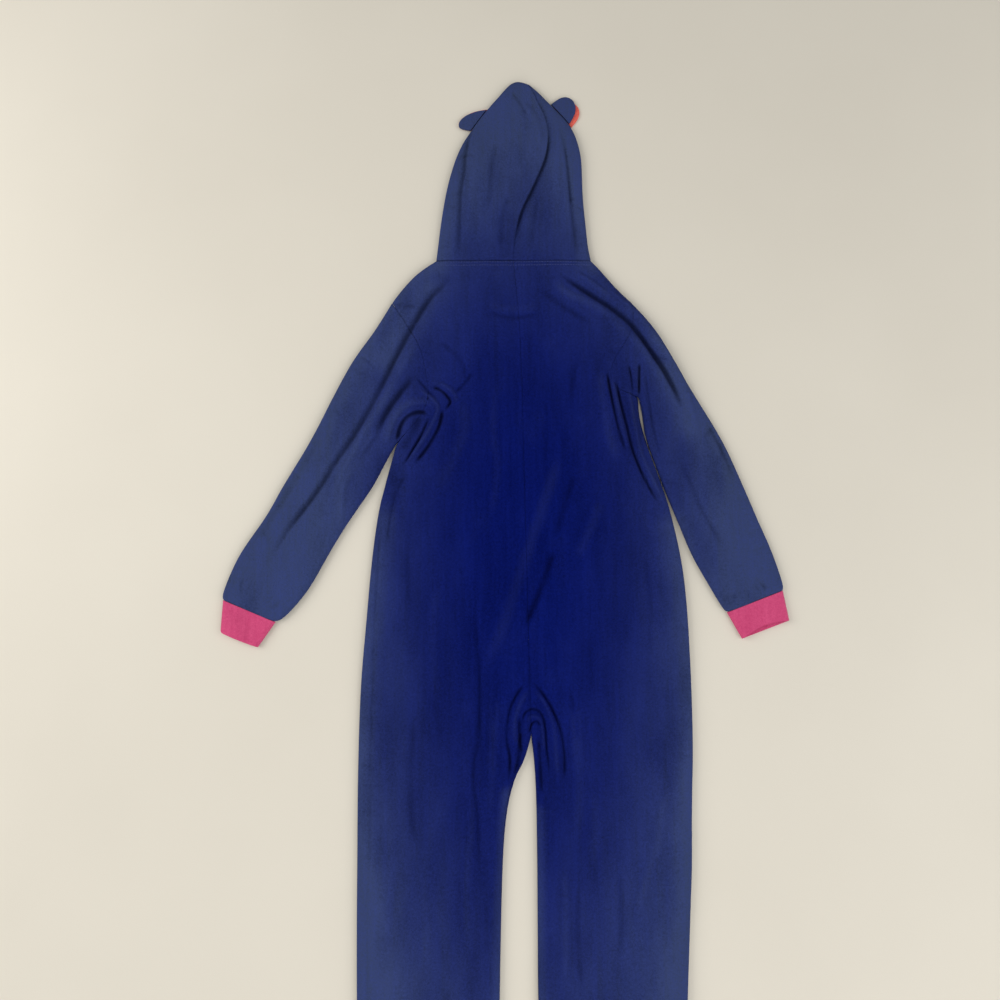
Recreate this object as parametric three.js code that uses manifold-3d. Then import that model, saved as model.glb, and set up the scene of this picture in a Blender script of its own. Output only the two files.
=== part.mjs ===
// A hooded fleece onesie, laid face down on a flat surface.
// Millimetres. +X is to the right seen from above, +Y runs from the legs to the hood and +Z points
// up off the surface.
// The tables give the laid garment's plan, measured from a point in the middle of the upper back.
import * as THREE from 'three';
import Module from 'manifold-3d';

const wasm = await Module();
wasm.setup();

// Driving dimensions of the cloth
const WALL = 2.2;
const SEAM = 0.3;
const LAID_HEIGHT = 8;
const EDGE_HEIGHT = LAID_HEIGHT / 2;
const TOP_ROLL = 7;
const FLOOR_ROLL = 4;
// First grid line in from a folded edge, on the upper and on the lower layer
const TOP_FIRST = 2;
const FLOOR_FIRST = 1.5;

// Driving dimensions of the cut
const NECK_Y = 363;
const NECK_X = 20;
const CROTCH_X = 43;
const CROTCH_Y = -330;
const HEM_Y = -956;

// Driving dimensions of the hood's centre fold
const FOLD_DEPTH = 14;
const FOLD_LIFT = 2 * (WALL + SEAM);
const FOLD_SLOPE = 46;
const FOLD_CLEAR = 0.2;
const FOLD_END = 0.55;

// Driving dimensions of the cuffs and ears
const CUFF_HEIGHT = 6.4;
const CUFF_ROLL = 5;
const SLEEVE_TUCK = 5;
const EAR_WALL = 2;
const EAR_PUFF = 0.6;
const EAR_TAPER = -0.06;
const EAR_ROUND = 2.6;

// Driving dimensions of the zip
const ZIP_TOP = 357;
const ZIP_END = -203;
const ZIP_CHANNEL = 14;
const TAPE_SHORTER = 8;
const TAPE_WIDTH = 11.6;
const TAPE_THICK = 0.7;
const TAPE_GAP = 4.8;
const PIVOT_Y = 350;
const PIVOT_Z = 1.6;

// Colours
const FLEECE = { color: 0x16245c, roughness: 0.95, metalness: 0 };
const PINK = { color: 0xc64f76, roughness: 0.95, metalness: 0 };
const CORAL = { color: 0xdb6560, roughness: 0.95, metalness: 0 };
const TAPE = { color: 0x1b2550, roughness: 0.8, metalness: 0 };
const METAL = { color: 0x9a9ca2, roughness: 0.35, metalness: 1 };

const table = (columns, rows) => rows.map(
  (row) => Object.fromEntries(columns.map((name, k) => [name, row[k]])),
);

// Hood outline, from the neck to the peak
const HOOD_LEFT = table(['x', 'y'], [
  [-97, 363], [-95, 380], [-92, 411], [-87, 450], [-82, 480], [-72, 520], [-63, 546],
  [-46, 576], [-20, 613], [0, 637], [14, 652], [24.5, 660], [35, 658], [44, 651.5],
]);
const HOOD_RIGHT = table(['x', 'y'], [
  [138, 363], [134, 383], [131, 420], [127.5, 460], [126.5, 500], [126, 530], [121, 556],
  [110, 585], [94, 604], [77, 623], [60, 641], [44, 652],
]);
// Foot of the hood's centre fold, from the neck to the peak
const HOOD_FOLD = table(['x', 'y'], [
  [20, 363], [21, 388], [26, 418], [34, 445], [47, 472], [62, 507], [72, 536],
  [75, 562], [71, 592], [64, 612], [57, 626],
]);
// Edge of the face opening under the hood, from the neck to its top
const FACE_EDGE = table(['x', 'y', 'half'], [
  [20, 363, 13], [24, 430, 15], [30, 510, 15], [36, 575, 11], [39, 606, 4], [40, 615, 0],
]);

// Shoulder and outer edge of each sleeve, from the neck to the wrist
const SHOULDER_LEFT = table(['x', 'y'], [[-97, 363], [-113, 352], [-127, 341], [-147, 318], [-162, 297]]);
const SHOULDER_RIGHT = table(['x', 'y'], [[138, 363], [147, 353], [157, 341], [174, 320], [194, 300]]);
const SLEEVE_LEFT_OUTER = table(['x', 'y'], [
  [-162, 297], [-188, 252], [-217, 209], [-249, 145], [-268, 103], [-290, 61], [-314, 20],
  [-334, -21], [-361, -61], [-384, -101], [-395, -128], [-395, -142],
]);
const SLEEVE_RIGHT_OUTER = table(['x', 'y'], [
  [194, 300], [217, 274], [240, 242], [257, 209], [280, 166], [304, 124], [327, 82], [344, 40],
  [360, -1], [375, -41], [392, -81], [403, -114], [404, -129],
]);
// Inner edge of each sleeve, from the underarm to the wrist
const SLEEVE_LEFT_INNER = table(['x', 'y'], [
  [-151.5, 81], [-158, 70], [-168, 51], [-183, 20], [-203, -10], [-223, -41], [-246, -81],
  [-267, -121], [-288, -152], [-309, -174],
]);
const SLEEVE_RIGHT_INNER = table(['x', 'y'], [
  [204, 151], [207.5, 142], [209, 124], [210, 103], [215, 82], [224.8, 53], [235, 22], [243.2, -1],
  [259, -41], [274, -81], [296, -121], [317, -160],
]);
// Armhole seam, from the shoulder to the underarm; the corner row ends its upper stretch
const ARMHOLE_LEFT = table(['x', 'y'], [
  [-162, 297], [-145, 272], [-131, 250], [-118, 226], [-112, 202], [-109, 184], [-105.5, 168],
  [-104.5, 150], [-110, 134], [-120, 118], [-133, 102], [-145, 89], [-151.5, 81],
]);
const ARMHOLE_RIGHT = table(['x', 'y'], [
  [194, 300], [198, 278], [194, 250], [180, 227], [168, 207], [162, 188],
  [165, 173], [177, 162], [191, 155.5], [204, 151],
]);
const ARMHOLE_CORNER = { left: 168, right: 188 };

// Side of the body and leg, from the underarm to the hem
const SIDE = {
  left: table(['y', 'x'], [
    [81, -151.5], [70, -154], [55, -158], [30, -163], [-1, -172], [-41, -178], [-101, -184], [-180, -189],
    [-257, -194], [-380, -195], [-498, -193], [-604, -191], [-700, -188], [-830, -183], [-956, -178],
  ]),
  right: table(['y', 'x'], [
    [151, 204], [140, 202.3], [124, 203], [103, 206], [82, 213.8], [53, 223.7], [22, 233.7], [-1, 241.4],
    [-41, 250.5], [-101, 261], [-161, 265], [-257, 267], [-352, 266], [-425, 262], [-516, 259], [-569, 254],
    [-665, 248], [-800, 240], [-956, 232],
  ]),
};
// Inner edge of each leg, from the crotch to the hem
const INSEAM = table(['y', 'left', 'right'], [
  [-330, 43, 43], [-352, 37, 46], [-370, 30, 48], [-389, 18, 49], [-407, 11, 49.5], [-425, 8, 50],
  [-462, 5, 50], [-551, 1, 51], [-665, 0, 50], [-800, -5, 55], [-956, -14, 62],
]);
// Centre back seam, from the neck to the crotch
const CENTRE_BACK = table(['y', 'x'], [
  [363, NECK_X], [275, 28], [180, 32], [83, 34], [-100, 38], [-330, CROTCH_X],
]);

// Main folds of the upper layer: a bent path through three points, half its width and its rise
const FOLDS = table(['x0', 'y0', 'x1', 'y1', 'x2', 'y2', 'reach', 'rise'], [
  [-66, 352, -142, 222, -262, 14, 20, -1.6],
  [-140, 205, -196, 98, -250, -8, 19, 2.6],
  [-186, 238, -262, 108, -338, -36, 22, 1.6],
  [84, 350, 206, 282, 284, 88, 27, 3.4],
  [-84, 150, -104, 90, -150, 40, 15, 2.6],
  [184, 178, 200, 72, 238, -6, 14, 2.0],
  [36, -262, 0, -320, 12, -398, 17, 2.2],
  [54, -270, 96, -330, 90, -408, 17, 2.2],
  [96, 84, 44, -96, -22, -250, 30, 2.2],
  [236, -396, 214, -470, 176, -566, 24, 1.6],
  [-38, -390, -34, -460, -44, -545, 22, 1.4],
  [-40, 560, -52, 480, -52, 400, 26, 1.2],
]);

// Smooth curve y -> column through a table that runs downwards
function through(rows, column) {
  return (y) => {
    let k = 0;
    while (k < rows.length - 2 && y < rows[k + 1].y) {
      k += 1;
    }
    const [a, b] = [rows[k], rows[k + 1]];
    const before = rows[Math.max(k - 1, 0)];
    const after = rows[Math.min(k + 2, rows.length - 1)];
    const span = b.y - a.y;
    const t = (y - a.y) / span;
    const leave = (b[column] - before[column]) / (b.y - before.y) * span;
    const arrive = (after[column] - a[column]) / (after.y - a.y) * span;
    const h = t * t * (3 - 2 * t);
    return a[column] * (1 - h) + b[column] * h + t * (1 - t) * (leave * (1 - t) - arrive * t);
  };
}

// Smooth curve in the plan through a table's points
const CURVE_STEPS = 400;
function planCurve(rows) {
  const curve = new THREE.CatmullRomCurve3(
    rows.map(({ x, y }) => new THREE.Vector3(x, y, 0)), false, 'centripetal',
  );
  curve.arcLengthDivisions = CURVE_STEPS;
  return curve;
}

const hoodLeft = planCurve(HOOD_LEFT);
const hoodRight = planCurve(HOOD_RIGHT);
const hoodFold = planCurve(HOOD_FOLD);
const faceEdge = planCurve(FACE_EDGE);
const shoulder = { left: planCurve(SHOULDER_LEFT), right: planCurve(SHOULDER_RIGHT) };
const sleeveOuter = { left: planCurve(SLEEVE_LEFT_OUTER), right: planCurve(SLEEVE_RIGHT_OUTER) };
const sleeveInner = { left: planCurve(SLEEVE_LEFT_INNER), right: planCurve(SLEEVE_RIGHT_INNER) };
const armhole = { left: planCurve(ARMHOLE_LEFT), right: planCurve(ARMHOLE_RIGHT) };
const sideX = { left: through(SIDE.left, 'x'), right: through(SIDE.right, 'x') };
const inseamX = { left: through(INSEAM, 'left'), right: through(INSEAM, 'right') };
const centreBackX = through(CENTRE_BACK, 'x');
const centreFrontX = (y) => NECK_X + (CROTCH_X - NECK_X) * (NECK_Y - y) / (NECK_Y - CROTCH_Y);
const faceHalf = through([...FACE_EDGE].reverse().map(({ y, half }) => ({ y, half })), 'half');

// Free edges of the laid garment, each a chain of points
const EDGE_STEP = 7;
function chainOf(curve) {
  return curve.getSpacedPoints(Math.round(curve.getLength() / EDGE_STEP)).map((p) => [p.x, p.y]);
}
function chainDown(from, to, x) {
  const count = Math.round((from - to) / EDGE_STEP);
  return Array.from({ length: count + 1 }, (_, k) => {
    const y = from + (to - from) * k / count;
    return [x(y), y];
  });
}
const edges = {
  hoodLeft: chainOf(hoodLeft),
  hoodRight: chainOf(hoodRight),
  shoulderLeft: chainOf(shoulder.left),
  shoulderRight: chainOf(shoulder.right),
  outerLeft: chainOf(sleeveOuter.left),
  outerRight: chainOf(sleeveOuter.right),
  innerLeft: chainOf(sleeveInner.left),
  innerRight: chainOf(sleeveInner.right),
  sideLeft: chainDown(SIDE.left[0].y, HEM_Y, sideX.left),
  sideRight: chainDown(SIDE.right[0].y, HEM_Y, sideX.right),
  inseamLeft: chainDown(CROTCH_Y, HEM_Y, inseamX.left),
  inseamRight: chainDown(CROTCH_Y, HEM_Y, inseamX.right),
};

// Distance from a plan point to a chain
function chainDistance(chain, x, y) {
  let best = Infinity;
  for (let k = 1; k < chain.length; k += 1) {
    const [ax, ay] = chain[k - 1];
    const [dx, dy] = [chain[k][0] - ax, chain[k][1] - ay];
    const t = THREE.MathUtils.clamp(((x - ax) * dx + (y - ay) * dy) / (dx * dx + dy * dy), 0, 1);
    best = Math.min(best, Math.hypot(x - ax - t * dx, y - ay - t * dy));
  }
  return best;
}
const edgeDistance = (x, y) => (
  Math.min(...Object.values(edges).map((chain) => chainDistance(chain, x, y)))
);

const FOLD_STEPS = 14;
const foldChains = FOLDS.map(({ x0, y0, x1, y1, x2, y2 }) => {
  const bend = planCurve([{ x: x0, y: y0 }, { x: x1, y: y1 }, { x: x2, y: y2 }]);
  return bend.getPoints(FOLD_STEPS).map((p) => [p.x, p.y]);
});

// Rise of the main folds at a plan point
function foldRise(x, y) {
  return FOLDS.reduce((sum, fold, k) => {
    const near = chainDistance(foldChains[k], x, y) / fold.reach;
    return near < 1 ? sum + fold.rise * (1 + Math.cos(Math.PI * near)) / 2 : sum;
  }, 0);
}

// Rounded rise away from an edge: 0 at the edge, 1 from one roll inwards
const roll = (distance, radius) => Math.sqrt(1 - (1 - Math.min(distance, radius) / radius) ** 2);
const topHeight = (x, y) => (
  EDGE_HEIGHT + (LAID_HEIGHT - EDGE_HEIGHT + foldRise(x, y)) * roll(edgeDistance(x, y), TOP_ROLL)
);
const floorHeight = (x, y) => EDGE_HEIGHT * (1 - roll(edgeDistance(x, y), FLOOR_ROLL));

// Outward direction of a height at a plan point; side is 1 on the upper layer and -1 on the lower one
const SLOPE_STEP = 0.2;
function slopeNormal(height, x, y, side) {
  const dx = (height(x + SLOPE_STEP, y) - height(x - SLOPE_STEP, y)) / (2 * SLOPE_STEP);
  const dy = (height(x, y + SLOPE_STEP) - height(x, y - SLOPE_STEP)) / (2 * SLOPE_STEP);
  return new THREE.Vector3(-dx * side, -dy * side, side).normalize();
}

// Level outward direction at a free edge, away from a point inside
function edgeNormal(chain, x, y, inside) {
  let best = Infinity;
  const out = new THREE.Vector3();
  for (let k = 1; k < chain.length; k += 1) {
    const [ax, ay] = chain[k - 1];
    const [dx, dy] = [chain[k][0] - ax, chain[k][1] - ay];
    const t = THREE.MathUtils.clamp(((x - ax) * dx + (y - ay) * dy) / (dx * dx + dy * dy), 0, 1);
    const away = Math.hypot(x - ax - t * dx, y - ay - t * dy);
    if (away < best - 1e-6) {
      best = away;
      out.set(dy, -dx, 0).normalize();
    }
  }
  return (x - inside.x) * out.x + (y - inside.y) * out.y < 0 ? out.negate() : out;
}

// Level outward direction at the shoulder's tip, midway between the shoulder's and the sleeve's
function tipNormal(hand, inside) {
  const name = hand === 'left' ? 'Left' : 'Right';
  const { x, y } = seamPoints[hand].upper[0].point;
  const ofShoulder = edgeNormal(edges[`shoulder${name}`], x, y, inside);
  const ofSleeve = edgeNormal(edges[`outer${name}`], x, y, inside);
  return ofShoulder.add(ofSleeve).normalize();
}

// A closed wall of cloth: its outer points, their outward directions, and the row from which
// its first and last columns are one seam
function clothWall(outer, facing, weldFrom = Infinity, thick = WALL) {
  const [rows, columns] = [outer.length, outer[0].length];
  const last = columns - 1;
  const positions = [];
  const place = (p) => {
    positions.push(p.x, p.y, p.z);
    return positions.length / 3 - 1;
  };
  const layer = (depth) => outer.map((row, i) => {
    const indices = row.map((p, j) => (
      i >= weldFrom && j === last ? -1 : place(p.clone().addScaledVector(facing[i][j], -depth))
    ));
    return indices.map((index) => (index < 0 ? indices[0] : index));
  });
  const skin = layer(0);
  const back = layer(thick);
  const faces = [];
  const quad = (a, b, c, d) => faces.push([a, b, c], [a, c, d]);
  for (let i = 0; i < rows - 1; i += 1) {
    for (let j = 0; j < last; j += 1) {
      quad(skin[i][j], skin[i + 1][j], skin[i + 1][j + 1], skin[i][j + 1]);
      quad(back[i][j], back[i][j + 1], back[i + 1][j + 1], back[i + 1][j]);
    }
    if (i < weldFrom) {
      quad(skin[i][0], back[i][0], back[i + 1][0], skin[i + 1][0]);
      quad(skin[i][last], skin[i + 1][last], back[i + 1][last], back[i][last]);
    }
  }
  for (let j = 0; j < last; j += 1) {
    const end = rows - 1;
    if (facing[0][j].z > 0 || facing[0][j + 1].z > 0) {
      quad(skin[0][j + 1], back[0][j + 1], back[0][j], skin[0][j]);
    } else {
      quad(skin[0][j], skin[0][j + 1], back[0][j + 1], back[0][j]);
    }
    quad(skin[end][j + 1], skin[end][j], back[end][j], back[end][j + 1]);
  }
  return geometryFrom(positions, faces);
}

function geometryFrom(positions, faces) {
  const corner = (index) => new THREE.Vector3().fromArray(positions, index * 3);
  const volume = faces.reduce((sum, [a, b, c]) => sum + corner(a).dot(corner(b).cross(corner(c))), 0);
  const turned = volume < 0 ? faces.map(([a, b, c]) => [a, c, b]) : faces;
  const geometry = new THREE.BufferGeometry();
  geometry.setAttribute('position', new THREE.Float32BufferAttribute(positions, 3));
  geometry.setIndex(turned.flat());
  geometry.computeVertexNormals();
  return geometry;
}

// Distances of the columns across a width, closer together at both rolled edges
function columnsAcross(width, inside, first, second) {
  const inner = Array.from({ length: inside + 1 }, (_, k) => second + (width - 2 * second) * k / inside);
  return [0, first, ...inner, width - first, width];
}

// Rows of a body panel: shoulder, armhole and side points with the border they lie on
const UPPER_STEPS = 10;
const LOWER_STEPS = { left: 6, right: 4 };
const SHOULDER_STEPS = 5;
const SLANT_LEAST = 0.35;
const SIDE_ROWS = {
  left: [68, 50, 28, 2, -28, -60, -95, -135, -178, -220, -258, -290, -312, -324],
  right: [140, 122, 103, 82, 60, 38, 16, -10, -40, -70, -104, -142, -180, -220, -258, -290, -312, -324],
};
const LEG_ROWS = [
  CROTCH_Y, -340, -354, -370, -388, -408, -435, -470, -515, -570, -640, -720, -800, -880, -940, HEM_Y,
];

// Fraction of the armhole's length at its corner
const CORNER_STEP = 0.001;
function cornerFraction(hand) {
  const curve = armhole[hand];
  let fraction = 0;
  while (curve.getPointAt(fraction).y > ARMHOLE_CORNER[hand]) {
    fraction += CORNER_STEP;
  }
  return fraction;
}

// Points of the armhole seam, the upper stretch closer together at the shoulder's rolled edge
const TIP_LENGTHS = [0, 3, 9];
function armholePoints(hand) {
  const corner = cornerFraction(hand);
  const length = armhole[hand].getLength();
  const tip = TIP_LENGTHS.map((distance) => distance / length);
  const rest = UPPER_STEPS + 1 - tip.length;
  const upper = [...tip, ...Array.from({ length: rest }, (_, k) => (
    tip.at(-1) + (corner - tip.at(-1)) * (k + 1) / rest
  ))];
  const lower = Array.from({ length: LOWER_STEPS[hand] }, (_, k) => (
    corner + (1 - corner) * (k + 1) / LOWER_STEPS[hand]
  ));
  const at = (fraction) => {
    const point = armhole[hand].getPointAt(Math.min(fraction, 1));
    const tangent = armhole[hand].getTangentAt(Math.min(fraction, 1));
    const turn = hand === 'left' ? 1 : -1;
    return { point, away: new THREE.Vector3(tangent.y * turn, -tangent.x * turn, 0) };
  };
  return { upper: upper.map(at), lower: lower.map(at) };
}
const seamPoints = { left: armholePoints('left'), right: armholePoints('right') };

function bodyRows(hand) {
  const rows = [];
  const { upper, lower } = seamPoints[hand];
  for (let k = 0; k < SHOULDER_STEPS; k += 1) {
    const point = shoulder[hand].getPointAt(k / SHOULDER_STEPS);
    const y = k === 0 ? NECK_Y - SEAM / 2 : point.y;
    rows.push({ y, side: point.x, edge: hand === 'left' ? 'shoulderLeft' : 'shoulderRight' });
  }
  [...upper, ...lower].forEach(({ point, away }, k, all) => {
    const slant = Math.max(Math.abs(away.x), SLANT_LEAST);
    const ends = { 0: 'shoulder', [all.length - 1]: 'side' }[k];
    const name = ends && `${ends}${hand === 'left' ? 'Left' : 'Right'}`;
    const side = point.x - Math.sign(away.x) * SEAM / 2 / slant;
    rows.push({ y: point.y, side, edge: name, seam: point, tip: k === 0 });
  });
  const sideName = hand === 'left' ? 'sideLeft' : 'sideRight';
  for (const y of [...SIDE_ROWS[hand], ...LEG_ROWS]) {
    rows.push({ y, side: sideX[hand](y), edge: sideName });
  }
  return rows;
}

// The upper layer: half a back with its leg
const BACK_INSIDE = 7;
function backPanel(hand) {
  const sign = hand === 'left' ? 1 : -1;
  const inseamName = hand === 'left' ? 'inseamLeft' : 'inseamRight';
  const [outer, facing] = [[], []];
  for (const row of bodyRows(hand)) {
    const onLeg = row.y <= CROTCH_Y;
    const centre = onLeg ? inseamX[hand](row.y) : centreBackX(row.y) - sign * SEAM / 2;
    const middle = row.y === CROTCH_Y ? centre - sign * SEAM / 2 : centre;
    const width = Math.abs(middle - row.side);
    const across = columnsAcross(width, BACK_INSIDE, TOP_FIRST, TOP_ROLL);
    const inside = new THREE.Vector3((middle + row.side) / 2, row.y, 0);
    outer.push(across.map((distance, j) => {
      const x = row.side + sign * distance;
      const onEdge = (j === 0 && row.edge) || (j === across.length - 1 && onLeg);
      const measured = j === 0 && row.seam ? row.seam.x : x;
      const lowest = EDGE_HEIGHT + SEAM / 2;
      const z = onEdge ? lowest : Math.max(topHeight(measured, row.y), lowest);
      return new THREE.Vector3(x, row.y, z);
    }));
    facing.push(outer.at(-1).map((p, j) => {
      if (j === 0 && row.edge) {
        return row.tip ? tipNormal(hand, inside) : edgeNormal(edges[row.edge], p.x, p.y, inside);
      }
      if (j === 0 && row.seam) {
        return slopeNormal(topHeight, row.seam.x, row.y, 1);
      }
      if (j === across.length - 1 && onLeg) {
        return edgeNormal(edges[inseamName], p.x, p.y, inside);
      }
      return slopeNormal(topHeight, p.x, p.y, 1);
    }));
  }
  return clothWall(outer, facing);
}

// Half of the zip's channel, narrowing to the centre front seam below the zip
const CHANNEL_FOOT = ZIP_END + 2;
const CHANNEL_END = 12;
function channelHalf(y) {
  const closing = THREE.MathUtils.clamp((CHANNEL_FOOT - y) / CHANNEL_END, 0, 1);
  return THREE.MathUtils.lerp(ZIP_CHANNEL / 2, SEAM / 2, closing);
}

// The lower layer: half a front with its leg, flat on the surface
const FRONT_INSIDE = 5;
const FRONT_ZIP_ROWS = [CHANNEL_FOOT, CHANNEL_FOOT - CHANNEL_END];
const FRONT_LEG_ROWS = [CROTCH_Y, -354, -388, -435, -515, -640, -800, -940, HEM_Y];
function frontPanel(hand) {
  const sign = hand === 'left' ? 1 : -1;
  const inseamName = hand === 'left' ? 'inseamLeft' : 'inseamRight';
  const all = bodyRows(hand);
  const first = SHOULDER_STEPS;
  const lastSeam = first + UPPER_STEPS + LOWER_STEPS[hand];
  const kept = all.filter((row, k) => {
    if (k < first) {
      return k === 0 || k % 2 === 1;
    }
    if (k <= lastSeam) {
      return (k - first) % 2 === 0 || k >= first + UPPER_STEPS;
    }
    return row.y > CROTCH_Y ? (k - lastSeam) % 2 === 0 : FRONT_LEG_ROWS.includes(row.y);
  });
  const sideName = hand === 'left' ? 'sideLeft' : 'sideRight';
  kept.push(...FRONT_ZIP_ROWS.map((y) => ({ y, side: sideX[hand](y), edge: sideName })));
  kept.sort((a, b) => b.y - a.y);
  const [outer, facing] = [[], []];
  for (const row of kept) {
    const onLeg = row.y <= CROTCH_Y;
    const centre = onLeg ? inseamX[hand](row.y) : centreFrontX(row.y) - sign * channelHalf(row.y);
    const middle = row.y === CROTCH_Y ? centre - sign * SEAM / 2 : centre;
    const width = Math.abs(middle - row.side);
    const across = columnsAcross(width, FRONT_INSIDE, FLOOR_FIRST, FLOOR_ROLL + 1);
    const inside = new THREE.Vector3((middle + row.side) / 2, row.y, 0);
    outer.push(across.map((distance, j) => {
      const x = row.side + sign * distance;
      const onEdge = (j === 0 && row.edge) || (j === across.length - 1 && onLeg);
      const measured = j === 0 && row.seam ? row.seam.x : x;
      const highest = EDGE_HEIGHT - SEAM / 2;
      const z = onEdge ? highest : Math.min(floorHeight(measured, row.y), highest);
      return new THREE.Vector3(x, row.y, z);
    }));
    facing.push(outer.at(-1).map((p, j) => {
      if (j === 0 && row.edge) {
        return row.tip ? tipNormal(hand, inside) : edgeNormal(edges[row.edge], p.x, p.y, inside);
      }
      if (j === 0 && row.seam) {
        return slopeNormal(floorHeight, row.seam.x, row.y, -1);
      }
      if (j === across.length - 1 && onLeg) {
        return edgeNormal(edges[inseamName], p.x, p.y, inside);
      }
      return slopeNormal(floorHeight, p.x, p.y, -1);
    }));
  }
  return clothWall(outer, facing);
}

// A flattened ring between two plan points: outer points and directions, upper layer first
function flatRing(inner, outer, upper, lower, height, bow) {
  const across = outer.clone().sub(inner);
  const width = across.length();
  const along = across.clone().normalize();
  const down = new THREE.Vector3(along.y, -along.x, 0);
  const half = height / 2;
  const side = (fraction, sign) => {
    const near = Math.min(fraction, 1 - fraction) * width;
    const rise = roll(near, CUFF_ROLL);
    const steep = near > 0 ? Math.max(1 - near / CUFF_ROLL, 0) / CUFF_ROLL / rise * half : Infinity;
    const lean = fraction < 0.5 ? -1 : 1;
    const point = inner.clone().addScaledVector(across, fraction);
    point.addScaledVector(down, bow * (sign > 0 ? 1 : 0) * Math.sin(Math.PI * fraction));
    point.z = half + sign * half * rise;
    const normal = along.clone().multiplyScalar(lean * steep).add(new THREE.Vector3(0, 0, sign));
    return { point, normal: normal.normalize() };
  };
  const level = (fraction) => {
    const point = inner.clone().addScaledVector(across, fraction);
    point.z = half;
    return { point, normal: along.clone().multiplyScalar(fraction < 0.5 ? -1 : 1) };
  };
  return [
    level(0), ...upper.slice(1, -1).map((f) => side(f, 1)),
    level(1), ...lower.slice(1, -1).reverse().map((f) => side(f, -1)), level(0),
  ];
}

// Column fractions over the upper and lower layers of a sleeve of one width, as many as the
// points of the armhole's upper stretch
const SLEEVE_INSIDE = UPPER_STEPS - 4;
function sleeveFractions(width) {
  const upper = columnsAcross(width, SLEEVE_INSIDE, TOP_FIRST, TOP_ROLL).map((d) => d / width);
  const lower = upper.filter((_, j) => j % 2 === 0);
  return { upper, lower };
}

// Ends of each cuff in the plan: inner and outer corners at the sleeve and at the hand
const CUFFS = {
  left: {
    start: [[-317, -174.5], [-393, -143.5]], end: [[-340.5, -209.5], [-394.5, -188.5]], bow: 1,
  },
  right: {
    start: [[321, -161], [402, -130]], end: [[341, -198], [409, -172.5]], bow: -7,
  },
};
const flat = ([x, y]) => new THREE.Vector3(x, y, 0);

function cuffRing(hand, fraction, shift) {
  const { start, end, bow } = CUFFS[hand];
  const inner = flat(start[0]).lerp(flat(end[0]), fraction);
  const outer = flat(start[1]).lerp(flat(end[1]), fraction);
  const hang = hand === 'left' ? -1 : 1;
  const along = outer.clone().sub(inner).normalize();
  const down = new THREE.Vector3(along.y * hang, -along.x * hang, 0);
  inner.addScaledVector(down, shift);
  outer.addScaledVector(down, shift);
  const { upper, lower } = sleeveFractions(outer.distanceTo(inner));
  return flatRing(inner, outer, upper, lower, CUFF_HEIGHT, bow * hang * fraction ** 2);
}

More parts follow.
